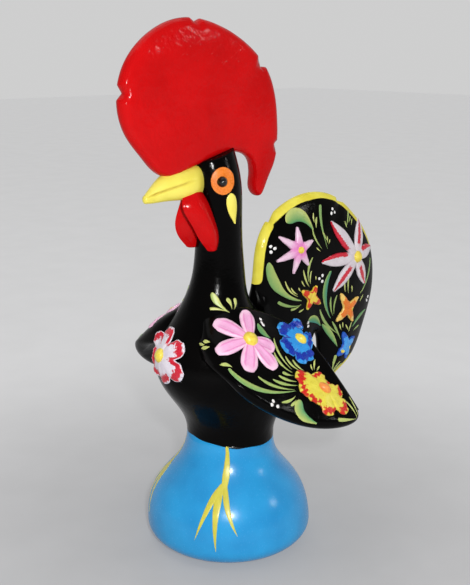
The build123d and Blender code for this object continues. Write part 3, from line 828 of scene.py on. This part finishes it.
# a round pat of clay or paint
patForm = {"turns": (-80, -40, 0, 20, 40, 60, 75, 86), "sunk": 0.4, "sides": 24}


def makePat(radius, relief):
    rings = []
    for turn in np.radians(patForm["turns"]):
        reach, rise = radius * math.cos(turn), math.sin(turn) * (relief if turn > 0 else patForm["sunk"])
        rings.append([(reach * math.cos(angle), reach * math.sin(angle), rise) for angle in turns(patForm["sides"])])
    return loftPiece("pat", rings)


# petal paints: brushes as (size in mm, how far the edge strays), steps as (start, end), both in shares of the petal
redTouch = patchy("#D3213A", "#C0142A", 6)
pinkMarks = {
    "rim": patchy("#F5CBE2", "#EFBAD9", 7), "hollow": patchy("#F0B2DA", "#E9A5D0", 5),
    "line": patchy("#E692C6", "#DE86BA", 5), "brush": (5, 0.25), "inner": (0.76, 0.93), "hollowStep": (0.40, 0.68),
    "lineAt": 0.52, "lineStep": (0.02, 0.20),
}


# pale rim round a pinker hollow, with a darker line where the hollow was pressed in
def pinkPetal(tree, place, along, across):
    m = pinkMarks
    aside = ragged(tree, place, addNode(tree, mathNode, unsigned, (across,)), *m["brush"])
    offLine = addNode(tree, mathNode, minus, (aside, m["lineAt"]))
    offLine = addNode(tree, mathNode, unsigned, (offLine,))
    inner = addNode(tree, stepNode, softly, (along, *m["inner"], *falling))
    paint = m["rim"](tree, place)
    for value, label in ((aside, "hollow"), (offLine, "line")):
        near = addNode(tree, stepNode, softly, (value, *m[label + "Step"], *falling))
        mask = addNode(tree, mathNode, times, (near, inner))
        paint = addNode(tree, mixNode, inColour, {0: mask, 6: paint, 7: m[label](tree, place)})
    return paint


starMarks = {"pale": patchy("#ECCDDF", "#E3BCD4", 5), "core": patchy("#E98FCB", "#DF7CC0", 4), "brush": (4, 0.25),
             "coreStep": (0.18, 0.62)}


# deeper pink that was drawn out from the middle
def starPetal(tree, place, along):
    m = starMarks
    core = addNode(tree, stepNode, softly, (ragged(tree, place, along, *m["brush"]), *m["coreStep"], *falling))
    return addNode(tree, mixNode, inColour, {0: core, 6: m["pale"](tree, place), 7: m["core"](tree, place)})


daisyMarks = {"white": patchy("#DED6DB", "#D1C7CE", 6), "lineBrush": (1.8, 0.55), "line": (0.30, 0.40),
              "outerBrush": (2, 0.2), "outer": (0.28, 0.36)}


# white with one red line along the petal, off to the side that its mark gives
def daisyPetal(tree, place, along, across, mark):
    m = daisyMarks
    aside = addNode(tree, mathNode, minus, (across, mark))
    aside = addNode(tree, mathNode, unsigned, (ragged(tree, place, aside, *m["lineBrush"]),))
    line = addNode(tree, stepNode, softly, (aside, *m["line"], *falling))
    outer = addNode(tree, stepNode, softly, (ragged(tree, place, along, *m["outerBrush"]), *m["outer"]))
    mask = addNode(tree, mathNode, times, (line, outer))
    return addNode(tree, mixNode, inColour, {0: mask, 6: m["white"](tree, place), 7: redTouch(tree, place)})


breastMarks = {"white": patchy("#E8E2EA", "#DBD2DE", 6), "rimBrush": (1.8, 0.40), "rimEnd": 0.96, "rim": (0.66, 0.73),
               "outerBrush": (3, 0.35), "outer": (0.36, 0.46), "edgeEnd": 0.95, "edge": (0.89, 0.94)}


# white with a red band round the petal, wider on the side that its mark gives, and white again at the very edge
def breastPetal(tree, place, along, across, mark):
    m = breastMarks
    aside = addNode(tree, mathNode, unsigned, (across,))
    leaning = addNode(tree, mathNode, timesPlus, (across, mark, aside))
    rimEnd, edgeEnd = (addNode(tree, mathNode, times, (along, m[key])) for key in ("rimEnd", "edgeEnd"))
    far = addNode(tree, mathNode, larger, (leaning, rimEnd))
    rim = addNode(tree, stepNode, softly, (ragged(tree, place, far, *m["rimBrush"]), *m["rim"]))
    outer = addNode(tree, stepNode, softly, (ragged(tree, place, along, *m["outerBrush"]), *m["outer"]))
    edge = addNode(tree, mathNode, larger, (aside, edgeEnd))
    within = addNode(tree, stepNode, softly, (edge, *m["edge"], *falling))
    mask = addNode(tree, mathNode, times, (addNode(tree, mathNode, times, (rim, outer)), within))
    return addNode(tree, mixNode, inColour, {0: mask, 6: m["white"](tree, place), 7: redTouch(tree, place)})


tipMarks = {"brush": (2.2, 0.42), "tipSide": 0.80, "tipSoft": 0.08, "edgeSide": 0.97, "edgeSoft": 0.03}


# a petal whose ragged tip has a second colour, with the ground colour showing again at the very edge
def tipped(ground, tip, start, edgeShow):
    def paint(tree, place, along, across):
        m, aside = tipMarks, addNode(tree, mathNode, unsigned, (across,))
        far, edge = (addNode(tree, mathNode, larger, (along, addNode(tree, mathNode, times, (aside, m[key]))))
                     for key in ("tipSide", "edgeSide"))
        outer = addNode(tree, stepNode, softly, (ragged(tree, place, far, *m["brush"]), start, start + m["tipSoft"]))
        within = addNode(tree, stepNode, softly, (edge, edgeShow, edgeShow + m["edgeSoft"], *falling))
        mask = addNode(tree, mathNode, times, (outer, within))
        return addNode(tree, mixNode, inColour, {0: mask, 6: ground(tree, place), 7: tip(tree, place)})
    return paint


# petal clay is softer and more fingered than the shell under the same hard gloss
petalLook = {"wave": 4, "waveDepth": 0.35, "grit": 0.9, "gritDepth": 0.06, "rough": 0.26}
bluePetal = tipped(patchy("#2E96DE", "#2485D2", 6), patchy("#0230A8", "#022492", 4), 0.54, 0.89)
yellowRedPetal = tipped(patchy("#E0D44E", "#D4C43C", 5), patchy("#CE2010", "#BE160C", 4), 0.71, 0.955)
yellowCross = tipped(patchy("#F0D848", "#E6BE38", 3), patchy("#D8380F", "#C8280C", 3), 0.46, 0.86)
orangeCross = tipped(patchy("#E88024", "#E07018", 3), patchy("#F8D676", "#F3C25C", 3), 0.62, 2.0)
blueCross = tipped(patchy("#4FA8EE", "#3C94E4", 3), patchy("#2060C8", "#184CB4", 3), 0.60, 2.0)
petalPaints = {
    "pink": gloss("pinkPetalEnamel", pinkPetal, petalLook, ("along", "across")),
    "starPink": gloss("paleStarEnamel", starPetal, petalLook, ("along",)),
    "daisy": gloss("whiteAndRedDaisyEnamel", daisyPetal, petalLook, ("along", "across", "mark")),
    "breast": gloss("whiteAndRedPetalEnamel", breastPetal, petalLook, ("along", "across", "mark")),
    "blue": gloss("bluePetalEnamel", bluePetal, petalLook, ("along", "across")),
    "yellowRed": gloss("yellowAndRedPetalEnamel", yellowRedPetal, petalLook, ("along", "across")),
    "smallYellow": gloss("yellowAndRedCrossEnamel", yellowCross, petalLook, ("along", "across")),
    "smallOrange": gloss("orangeCrossEnamel", orangeCross, petalLook, ("along", "across")),
    "smallBlue": gloss("blueCrossEnamel", blueCross, petalLook, ("along", "across")),
}

# pupils: small domes that catch the light
pupilForm = {"middle": (15.2, -18.6, 287.2), "facing": (0.914, -0.407, 0), "radius": 4.1, "rise": 4.6}
pupilSheet = sheet(pupilForm["middle"], pupilForm["facing"], body, None, front=20, behind=15)
for label, place in bothSides(pupilSheet):
    pat = makePat(pupilForm["radius"], pupilForm["rise"])
    dress(pressed("pupil" + label, pat, [(0, 0)], {"turn": [0], "long": [1], "broad": [1]}, place, pupilEnamel),
          "black_paint", "pupil_" + label.lower())

# flowers: middle in mm and facing, petals as (turn in degrees, reach in mm), half width and bead radius
flowers = {
    "breast": {
        "node": "breast_flower", "slot": "white_paint", "style": "broad", "paint": "breast", "host": body,
        "middle": (-6.6, -60.9, 160.3), "facing": (0.15, -0.93, 0.33), "half": 6.4, "pat": 6.0,
        "petals": [(37, 19.5), (-4, 22), (-64, 23), (-116, 26), (-154, 20.5), (168, 15), (110, 12), (75, 12)],
        "broads": (0.92, 0.9, 1.12, 1.12, 0.98, 1, 1, 1), "marks": (0.25, 0.35, 0, -0.3, 0.1, 0, 0, 0),
        "behind": 6, "fallBack": 6},  # petals stand free where the breast curves away
    "shoulder": {
        "node": "shoulder_flower", "slot": "pink_paint", "style": "spoon", "paint": "pink",
        "middle": (45.3, -17.4, 176.5), "facing": (0.70, -0.27, 0.66), "half": 7.2, "pat": 6.2,
        "petals": [(-8, 25), (52, 29.3), (105, 28.8), (163, 27), (-146, 28), (-109, 20)],
        "broads": (0.86, 0.94, 0.83, 0.94, 0.90, 0.9)},
    "wing": {
        "node": "wing_flower", "slot": "flower_blue_paint", "style": "ruffled", "paint": "blue",
        "middle": (51.4, 26.6, 168.9), "facing": (0.78, -0.05, 0.62), "half": 7.2, "pat": 5.2,
        "petals": [(-14, 16), (36, 18.6), (104, 18), (160, 19.2), (-174, 17.5), (-122, 10.4)],
        "broads": (0.66, 0.88, 1.05, 0.84, 0.64, 1.1), "oval": (28, 1.08, 0.76)},  # the bead's turn and stretch
    "wingTip": {
        "node": "wing_tip_flower", "slot": "yellow_paint", "style": "ruffled", "paint": "yellowRed",
        "middle": (78.5, 25.7, 138), "facing": (0.85, -0.05, 0.52), "half": 6.4, "pat": 5.0,
        "petals": [(76, 20.5), (101, 16), (128, 14), (50, 23.5), (9, 12.5), (-68, 7), (-121, 16), (-149, 24.5),
                   (169, 20)],
        "oval": (42, 1.22, 0.82), "bead": (orangeBead, "orange_paint")},
    "tailStar": {
        "node": "tail_star", "slot": "pink_paint", "style": "star", "paint": "starPink",
        "middle": (0, 62.8, 225.6), "half": 3.7, "pat": 3.4,
        "petals": [(3, 18), (57, 22), (108, 22.5), (161, 19.5), (-146, 16.5), (-68, 15)]},
    "tailDaisy": {
        "node": "tail_daisy", "slot": "white_paint", "style": "daisy", "paint": "daisy",
        "middle": (0, 130.2, 210.4), "half": 5.7, "pat": 5.4,
        "petals": [(43, 45), (88, 42.5), (132, 37.5), (-154, 28), (-79, 24), (-17, 31)],
        "marks": (-0.75, 0.75, 0.15, 0.2, -0.7, -0.2)},
    "tailFront": {
        "node": "tail_small_front", "slot": "yellow_paint", "style": "cross", "paint": "smallYellow",
        "middle": (0, 76.7, 184.6), "half": 3.8, "petals": [(58, 13), (-31, 10), (-124, 13.5), (159, 10.5)]},
    "tailRear": {
        "node": "tail_small_rear", "slot": "orange_paint", "style": "cross", "paint": "smallOrange",
        "middle": (0, 120.7, 167.3), "half": 3.8, "petals": [(33, 16.5), (-62, 15), (-149, 15), (134, 14.5)]},
    "tailLow": {
        "node": "tail_small_low", "slot": "flower_blue_paint", "style": "cross", "paint": "smallBlue",
        "middle": (0, 122.5, 133.8), "half": 4.0, "petals": [(20, 13), (-66, 12), (-167, 13.5), (132, 12)]},
}
# hand-made spread where a flower gives no own values, and the rise of a bead for each mm of its radius
flowerForm = {"broads": (0.92, 1.06), "marks": (-0.45, 0.45), "beadRise": 0.55}


def makeFlower(key, flower):
    petals, chance = flower["petals"], np.random.default_rng(len(key) * 7 + len(flower["petals"]))
    if key.startswith("tail"):
        onSheet = sheet(flower["middle"], (1, 0, 0), tail, None, front=60, behind=0)
    else:
        onSheet = sheet(flower["middle"], flower["facing"], flower.get("host", wingLeft), body, front=20,
                        behind=flower.get("behind", 9), fallBack=flower.get("fallBack", 0))
    values = {"turn": [math.radians(turn) for turn, reach in petals],
              "long": [reach / petalForm["reach"] for turn, reach in petals],
              "broad": flower.get("broads", chance.uniform(*flowerForm["broads"], len(petals))),
              "mark": flower.get("marks", chance.uniform(*flowerForm["marks"], len(petals)))}
    beadMaterial, beadSlot = flower.get("bead", (beadEnamel, "yellow_paint"))
    for label, place in [("", onSheet)] if key == "breast" else bothSides(onSheet):
        ending = "_" + label.lower() if label else ""
        petal, paint = makePetal(flower["style"], flower["half"]), petalPaints[flower["paint"]]
        dress(pressed(key + "Flower" + label, petal, [(0, 0)] * len(petals), values, place, paint),
              flower["slot"], flower["node"] + ending)
        if "pat" in flower:
            pat = makePat(flower["pat"], petalForm["relief"] + flowerForm["beadRise"] * flower["pat"])
            turn, long, broad = flower.get("oval", (0, 1, 1))
            oval = {"turn": [math.radians(turn)], "long": [long], "broad": [broad]}
            dress(pressed(key + "Bead" + label, pat, [(0, 0)], oval, place, beadMaterial),
                  beadSlot, flower["node"].replace("_flower", "") + "_bead" + ending)


for key, flower in flowers.items():
    makeFlower(key, flower)
print("flowers made")

# painted leaves and grass: strokes of a soft round brush, wide where it was pressed
strokeWidths = {  # half width along the stroke from start to end
    "tear": (1.0, 1.0, 0.98, 0.82, 0.58, 0.36, 0.20, 0.06),
    "blade": (0.45, 0.72, 0.95, 1.0, 0.86, 0.60, 0.34, 0.08),
    "leaf": (0.30, 0.62, 0.90, 1.0, 0.96, 0.78, 0.48, 0.06),
    "bean": (0.60, 0.86, 1.0, 1.0, 0.92, 0.70, 0.40, 0.10),
    "frond": (0.45, 0.82, 1.0, 0.92, 0.62, 0.40, 0.26, 0.06),
    "toe": (0.35, 0.66, 0.94, 1.0, 0.84, 0.62, 0.36, 0.04),
    "stem": (0.52, 0.54, 0.60, 0.70, 0.86, 1.05, 1.2, 0.9),
}
strokeForm = {"steps": 22, "crowding": 1.4, "least": 0.03}  # steps stand closer together in the rounded head


# strokes as (kind, start, bend, end, half width, tint, blend across), in mm on a sheet
def strokesBase(name, strokes):
    points, edges, values = [], [], {"halfWidth": [], "tint": [], "blend": []}
    for kind, start, bend, end, half, tint, blend in strokes:
        start, bend, end = (np.array(p, float) for p in (start, bend, end))
        at = cubicThrough(np.linspace(0, 1, len(strokeWidths[kind])), [(width,) for width in strokeWidths[kind]])
        head = min(0.5, half / (np.linalg.norm(bend - start) + np.linalg.norm(end - bend)))
        for i in range(strokeForm["steps"] + 1):
            t = (i / strokeForm["steps"]) ** strokeForm["crowding"]
            if i:
                edges.append((len(points) - 1, len(points)))
            points.append((*((1 - t) ** 2 * start + 2 * t * (1 - t) * bend + t * t * end), 0))
            width = max(strokeForm["least"], at(t)[0] * quarterRound(t / head)) * half * mm
            for label, value in (("halfWidth", width), ("tint", tint), ("blend", blend)):
                values[label].append(value)
    return makePiece(name, points, [], None, values, edges)


leafTints = {"inner": (0.33, 0.66), "colours": ("#CFD078", "#9FB462", "#5C9658", "#2B8A78"), "brush": (3, 0.22)}


# two greens taken up on one brush: each stroke has its tint, and some blend from side to side
def leafPaint(tree, place, tint, blend, across):
    shade = addNode(tree, mathNode, timesPlus, (blend, across, tint))
    ramp = addNode(tree, "ShaderNodeValToRGB", None, (ragged(tree, place, shade, *leafTints["brush"]),))
    stops = ramp.color_ramp.elements
    for position in leafTints["inner"]:
        stops.new(position)
    for stop, colour in zip(stops, leafTints["colours"]):
        stop.color = toLinear(colour)
    return ramp


# thin brush paint: same gloss, no clay waves of its own
brushLook = {"wave": 3, "waveDepth": 0.05, "grit": 0.7, "gritDepth": 0.03, "rough": 0.30}
leafEnamel = gloss("greenBrushEnamel", leafPaint, brushLook, ("tint", "blend", "across"))
whiteDotEnamel = gloss("whiteBrushEnamel", patchy("#F4F2F0", "#E6E4E2", 3), brushLook)
clawEnamel = gloss("yellowBrushEnamel", patchy("#DDD34C", "#D2C640", 7), brushLook)

# strokes and dots of each place, across and up its sheet in mm
tailStrokes = [
    ("bean", (53, 247.5), (66.5, 261.5), (78.5, 239.5), 5.4, 0.42, 0.32),
    ("blade", (77.7, 241.5), (78, 232), (87.5, 223), 0.8, 0.3, 0),
    ("tear", (90, 258), (84.5, 243.5), (94, 222), 1.4, 0.5, 0),
    ("blade", (80.6, 252.5), (79.8, 248), (80.4, 245), 0.7, 0.1, 0),
    ("blade", (83.7, 249), (82, 245), (82, 240.7), 1.0, 0.2, 0),
    ("blade", (88.8, 237), (90, 233.5), (93, 229.5), 0.9, 0.2, 0),
    ("blade", (93.5, 232.6), (94, 230), (94, 227), 0.7, 0.2, 0),
    ("blade", (96.6, 229.5), (96.5, 227.5), (95.3, 226), 0.6, 0.1, 0),
    ("blade", (81, 225), (83, 223), (86, 221), 0.5, 0.1, 0),
    ("blade", (125, 250), (125.5, 246), (118.5, 236.5), 1.0, 0.35, 0),
    ("blade", (126.6, 244.5), (126, 241.5), (123, 240), 0.8, 0.3, 0),
    ("blade", (129, 242), (128, 239.5), (126, 237.3), 0.6, 0.2, 0),
    ("blade", (118, 241.5), (118, 238.5), (119.5, 236), 0.6, 0.2, 0),
    ("frond", (35, 218.5), (37.5, 190.5), (65.5, 183.5), 4.3, 0.42, 0.16),
    ("blade", (49, 202), (51.5, 192), (61.5, 187.7), 0.8, 0.1, 0),
    ("blade", (54.5, 196), (56.5, 191.5), (61, 189.5), 0.7, 0.1, 0),
    ("blade", (62, 195), (62.7, 193), (64, 191.5), 0.6, 0.1, 0),
    ("tear", (42, 186), (53, 178.5), (66, 180), 1.3, 0.45, 0),
    ("tear", (55, 177.5), (61, 177), (65, 180.5), 1.0, 0.3, 0),
    ("blade", (63.5, 174), (66.5, 174.5), (69, 176), 0.8, 0.2, 0),
    ("blade", (77, 217.5), (70.5, 209), (73, 198), 1.1, 0.3, 0),
    ("blade", (67, 208.5), (69, 199.5), (74, 193.5), 0.9, 0.15, 0),
    ("blade", (76, 206.5), (74, 201), (75, 196), 0.8, 0.15, 0),
    ("blade", (65.3, 200), (66.5, 197), (69, 194.5), 0.6, 0.1, 0),
    ("blade", (81, 201.5), (81.5, 200), (81.3, 198), 0.6, 0.1, 0),
    ("blade", (99, 203), (84.5, 186), (103.5, 161), 2.6, 0.72, -0.28),
    ("blade", (100.5, 180.5), (100, 172.5), (105.5, 163), 0.9, 0.4, 0),
    ("blade", (107.5, 181), (104, 174), (106.5, 164), 0.9, 0.4, 0),
    ("blade", (120.5, 195), (119.5, 188), (120.5, 180.5), 0.8, 0.2, 0),
    ("blade", (116, 190), (115.5, 186), (117, 182), 0.8, 0.15, 0),
    ("blade", (124.5, 186.5), (126, 183), (125, 180.5), 0.7, 0.15, 0),
    ("blade", (114, 154), (115, 151), (116, 148.5), 0.7, 0.2, 0),
    ("blade", (117, 155), (117.5, 152.5), (117.7, 150), 0.6, 0.15, 0),
    ("blade", (120.5, 152.5), (122, 149.5), (124, 146.5), 0.6, 0.15, 0),
    ("blade", (127.5, 153.5), (126.5, 150), (124, 145.5), 0.8, 0.2, 0),
    ("blade", (153, 205), (152, 187.5), (137, 176.5), 1.2, 0.5, 0),
    ("blade", (144.5, 183), (141.5, 179.5), (137.3, 177), 0.7, 0.3, 0),
    ("blade", (142.5, 175), (140, 172), (137.7, 170), 0.7, 0.2, 0),
    ("leaf", (149, 160), (137.5, 156.5), (129, 148.5), 1.7, 0.6, 0.1),
    ("blade", (140.5, 147.5), (136, 146.5), (131.2, 144.7), 0.9, 0.4, 0),
    ("bean", (76.5, 164.5), (85.5, 166.5), (94.5, 155.5), 3.1, 0.66, 0.4),
    ("blade", (89.3, 171.5), (96, 158), (113.5, 145), 1.2, 0.4, 0),
    ("blade", (106, 157.5), (111.5, 150), (116, 140), 1.0, 0.4, 0),
    ("leaf", (96, 156.5), (106.5, 148), (113, 134), 2.4, 0.5, 0.2),
    ("tear", (112.3, 126.5), (109.7, 119), (108.8, 110.5), 1.3, 0.3, 0),
    ("blade", (118, 119.5), (113.5, 116), (109.3, 110.5), 0.9, 0.2, 0),
    ("blade", (121.5, 116.5), (115, 113.8), (108.8, 110), 0.8, 0.25, 0),
]
tailDots = [
    (37, 230.8), (40.3, 229), (37, 226.5), (103.5, 253), (106.2, 250), (101.5, 249.8), (88.9, 200.6), (85.3, 198.6),
    (88.8, 195.8), (76.3, 162.6), (77.1, 159.2), (151.3, 171), (149.8, 168),
]
wingStrokes = [
    ("leaf", (-6, 40.5), (-7.5, 33.5), (-0.7, 27.5), 2.6, 0.6, 0.1),
    ("blade", (2.8, 27), (-1.5, 15), (7, 0.5), 1.0, 0.25, 0),
    ("blade", (-2.6, 16), (-3, 5.5), (6.3, -1.7), 1.1, 0.3, 0),
    ("blade", (6.4, 11.6), (7, 3.2), (14, -1.3), 1.0, 0.25, 0),
    ("blade", (11.6, 8), (12.4, 2), (17.6, -2), 1.0, 0.25, 0), ("tear", (-2.1, 0), (1, -3), (6.2, -4.2), 1.2, 0.3, 0),
    ("blade", (31, 4.7), (28.4, 1.2), (26.7, -3), 0.7, 0.1, 0),
    ("blade", (25.8, 1.7), (24.9, -0.7), (25.2, -3.2), 0.6, 0.1, 0),
    ("blade", (32.5, -0.9), (30.7, -2.4), (28.3, -4.5), 0.6, 0.1, 0),
    ("blade", (-44.8, 10.5), (-40, -14), (2.9, -15.6), 2.1, 0.45, 0.12),
    ("blade", (-25, 0), (-18, -9.8), (2.5, -14.7), 1.2, 0.35, 0),
    ("blade", (-13, -4), (-6.4, -9.6), (6.2, -12), 1.2, 0.35, 0),
    ("blade", (-6.6, -2), (-2.2, -6.6), (6.8, -9.1), 1.1, 0.3, 0),
    ("blade", (-12, -21.5), (-4.8, -23), (1.7, -19.2), 1.1, 0.25, 0),
    ("blade", (-5, -25.3), (-2, -25), (1.1, -22), 1.1, 0.25, 0),
    ("bean", (5.0, -23), (-5.4, -32), (12.5, -41.8), 3.9, 0.46, -0.32),
    ("tear", (31, -43), (39.5, -45.2), (50, -45.2), 1.4, 0.2, 0),
    ("blade", (44.5, -31), (49.5, -36.5), (51, -44.4), 0.8, 0.2, 0),
    ("blade", (49.6, -28), (53.2, -36.8), (52.7, -42.8), 0.7, 0.2, 0),
]
wingDots = [(-19.1, -19.6), (-21.2, -21.9), (-16.6, -23.8), (-1.2, 43.8), (-1.8, 41), (-1.4, 38.8)]
yellowDots = [(4, -2.8), (-5.7, -4.3), (3, 32.2)]
neckStrokes = [
    ("frond", (-9.8, 11.2), (-6.5, 2.4), (3, -3.6), 2.5, 0.2, 0.12),
    ("tear", (-11.4, -0.9), (-5.3, -0.3), (1.9, -3.1), 1.1, 0.1, 0),
    ("tear", (1.1, 6.7), (4.6, 3.6), (4.9, -1.4), 1.4, 0.15, 0),
    ("tear", (6.8, 7), (8.7, 2.5), (6.4, -1.6), 1.1, 0.1, 0),
]
frontLeaf = [("blade", (-48.5, 15), (-45, 14.5), (-42.3, 10.5), 1.4, 0.2, 0)]
shoulderStrokes = [
    ("blade", (-19, -25.7), (-17.2, -27.2), (-15.2, -26.5), 1.1, 0.1, 0),
    ("blade", (-16.3, -24.5), (-13.7, -24.3), (-11, -25), 1.3, 0.1, 0),
    ("blade", (-17.5, -29.5), (-14.5, -29), (-11.5, -28.1), 1.3, 0.1, 0),
]
clawStrokes = [
    ("stem", (2.3, 86.8), (4, 81.5), (2.2, 58.5), 2.3, 0, 0), ("toe", (2, 62), (-9, 51), (-18.4, 23), 2.1, 0, 0),
    ("toe", (1.8, 62), (-5.2, 50), (-1.9, 16), 2.8, 0, 0), ("toe", (3, 63), (2, 49.5), (14.1, 27.8), 2.2, 0, 0),
]
earStroke = [("bean", (-12.2, 278.6), (-11, 267.8), (-8.3, 255.8), 4.5, 0, 0)]

tailSheet = sheet((0, 0, 0), (1, 0, 0), tail, None, front=80, behind=0)
wingSheet = sheet((60, 0, 150), (0.80, -0.12, 0.59), wingLeft, body, front=60, behind=60)
neckSheet = sheet((20, -20, 195), (0.74, -0.60, 0.30), body, wingLeft, front=60, behind=60)
clawSheet = sheet((0, 0, 0), (0.68, -0.73, 0), foot, None, front=120, behind=0)
crossFlowers = [bpy.data.objects[name] for name in ("tailLowFlowerLeft", "tailRearFlowerLeft")]
crossSheet = sheet(flowers["tailLow"]["middle"], (1, 0, 0), *crossFlowers, front=60, behind=0)
earSheet = sheet((0, 0, 0), (1, 0, 0), body, None, front=80, behind=0)
paintRelief = {"leaf": 0.28, "claw": 0.22, "ear": 0.7, "dot": 0.5}


def brushed(name, strokes, onSheet, material, relief, slotName=None, leftOnly=False):
    for label, place in bothSides(onSheet)[:1 if leftOnly else 2]:
        settings = {"Relief": paintRelief[relief] * mm, "Material": material, **place}
        dress(grown(name + label, strokesBase(name + "Base", strokes), brushTree, settings), slotName)


dotForm = {"turn": (0, 6), "long": (0.9, 1.15), "broad": (0.85, 1.05)}  # no two dabs of the brush are alike


def dotted(name, places, onSheet, material, slotName, radius):
    chance = np.random.default_rng(len(places))
    values = {key: chance.uniform(*span, len(places)) for key, span in dotForm.items()}
    for label, place in bothSides(onSheet):
        dress(pressed(name + label, makePat(radius, paintRelief["dot"]), places, values, place, material), slotName)


brushed("tailLeaves", tailStrokes, tailSheet, leafEnamel, "leaf")
brushed("wingLeaves", wingStrokes, wingSheet, leafEnamel, "leaf")
brushed("neckLeaves", neckStrokes, neckSheet, leafEnamel, "leaf")
brushed("frontLeaf", frontLeaf, wingSheet, leafEnamel, "leaf", leftOnly=True)
brushed("shoulderLeaves", shoulderStrokes, neckSheet, leafEnamel, "leaf", leftOnly=True)
brushed("claws", clawStrokes, clawSheet, clawEnamel, "claw", "yellow_paint")
brushed("earLobe", earStroke, earSheet, beakEnamel, "ear", "pale_yellow_paint")
dotted("tailDots", tailDots, tailSheet, whiteDotEnamel, "white_paint", 1.35)
dotted("wingDots", wingDots, wingSheet, whiteDotEnamel, "white_paint", 1.35)
dotted("yellowDots", yellowDots, crossSheet, beadEnamel, "yellow_paint", 1.7)
print("strokes painted")

# floor, camera and light, in metres
floorForm = {"reach": 6.0, "near": 0.225, "far": 0.462, "nearAt": 0.05, "farAt": 0.5}


# pale paper with painted light: a glow of its own that grows further off, so that it runs into the backdrop without a
# line
def makePaper():
    material, tree, place = newMaterial("palePaperWithPaintedGlow")
    away = addNode(tree, vectorNode, {"operation": "LENGTH"}, (place,))
    light = addNode(tree, stepNode, softly, (away, *(floorForm[key] for key in ("nearAt", "farAt", "near", "far"))))
    shader = addNode(tree, "ShaderNodeBsdfPrincipled", None, {
        "Base Color": patchy("#8E8E90", "#88888A", 60)(tree, place), "Roughness": 0.8, "Specular IOR Level": 0.1,
        "Emission Color": toLinear("#FFFFFF"), "Emission Strength": light})
    addNode(tree, "ShaderNodeOutputMaterial", None, {"Surface": shader})
    return material


floorMesh, reach = bpy.data.meshes.new("floor"), floorForm["reach"]
corners = [(-reach, -reach, 0), (reach, -reach, 0), (reach, reach, 0), (-reach, reach, 0)]
floorMesh.from_pydata(corners, [], [(0, 1, 2, 3)])
floorMesh.materials.append(makePaper())
floor = addObject("floor", floorMesh)

cameraForm = {"place": (0.5209, -0.4371, 0.380), "turn": (75.1, 0, 49.58), "lens": 56.8, "sensor": 36}
camera = addObject("camera", bpy.data.cameras.new("camera"))
camera.location = cameraForm["place"]
camera.rotation_euler = [math.radians(turn) for turn in cameraForm["turn"]]
camera.data.lens, camera.data.sensor_width = cameraForm["lens"], cameraForm["sensor"]
bpy.context.scene.camera = camera

# a flash just above and to the right of the lens, a weak soft light from above and a small room lamp to the right
lightForms = {
    "flash": {"place": (0.555, -0.400, 0.435), "target": (0, 0, 0.2), "size": 0.035, "power": 3.85},
    "ceiling": {"place": (-0.3, -0.1, 1.6), "target": (0, 0, 0.1), "size": 1.4, "power": 6},
    "lamp": {"place": (0.92, 0.70, 0.62), "target": (0, 0, 0.3), "size": 0.07, "power": 0.8},
}
for name, form in lightForms.items():
    light = bpy.data.lights.new(name, "AREA")
    light.shape, light.size, light.energy = "SQUARE", form["size"], form["power"]
    lamp = addObject(name, light)
    lamp.location = form["place"]
    lamp.rotation_euler = (Vector(form["target"]) - Vector(form["place"])).to_track_quat("-Z", "Y").to_euler()

# bright backdrop on the far side of the object, dim room on the near side
roomForm = {"far": (-0.766, 0.643, 0.0), "span": (-0.1, 0.8), "glow": (0.30, 0.62)}
world = bpy.data.worlds.new("room")
world.use_nodes = True
roomTree = world.node_tree
roomTree.nodes.clear()
outward = addNode(roomTree, "ShaderNodeTexCoord").outputs["Generated"]
backdrop = addNode(roomTree, vectorNode, {"operation": "DOT_PRODUCT"}, (outward, roomForm["far"]))
glow = addNode(roomTree, stepNode, softly, (backdrop, *roomForm["span"], *roomForm["glow"]))
sky = addNode(roomTree, "ShaderNodeBackground", None, {"Color": glow, "Strength": 1.0})
addNode(roomTree, "ShaderNodeOutputWorld", None, {"Surface": sky})
bpy.context.scene.world = world
bpy.context.scene.view_settings.view_transform = "Standard"
print("stage set")
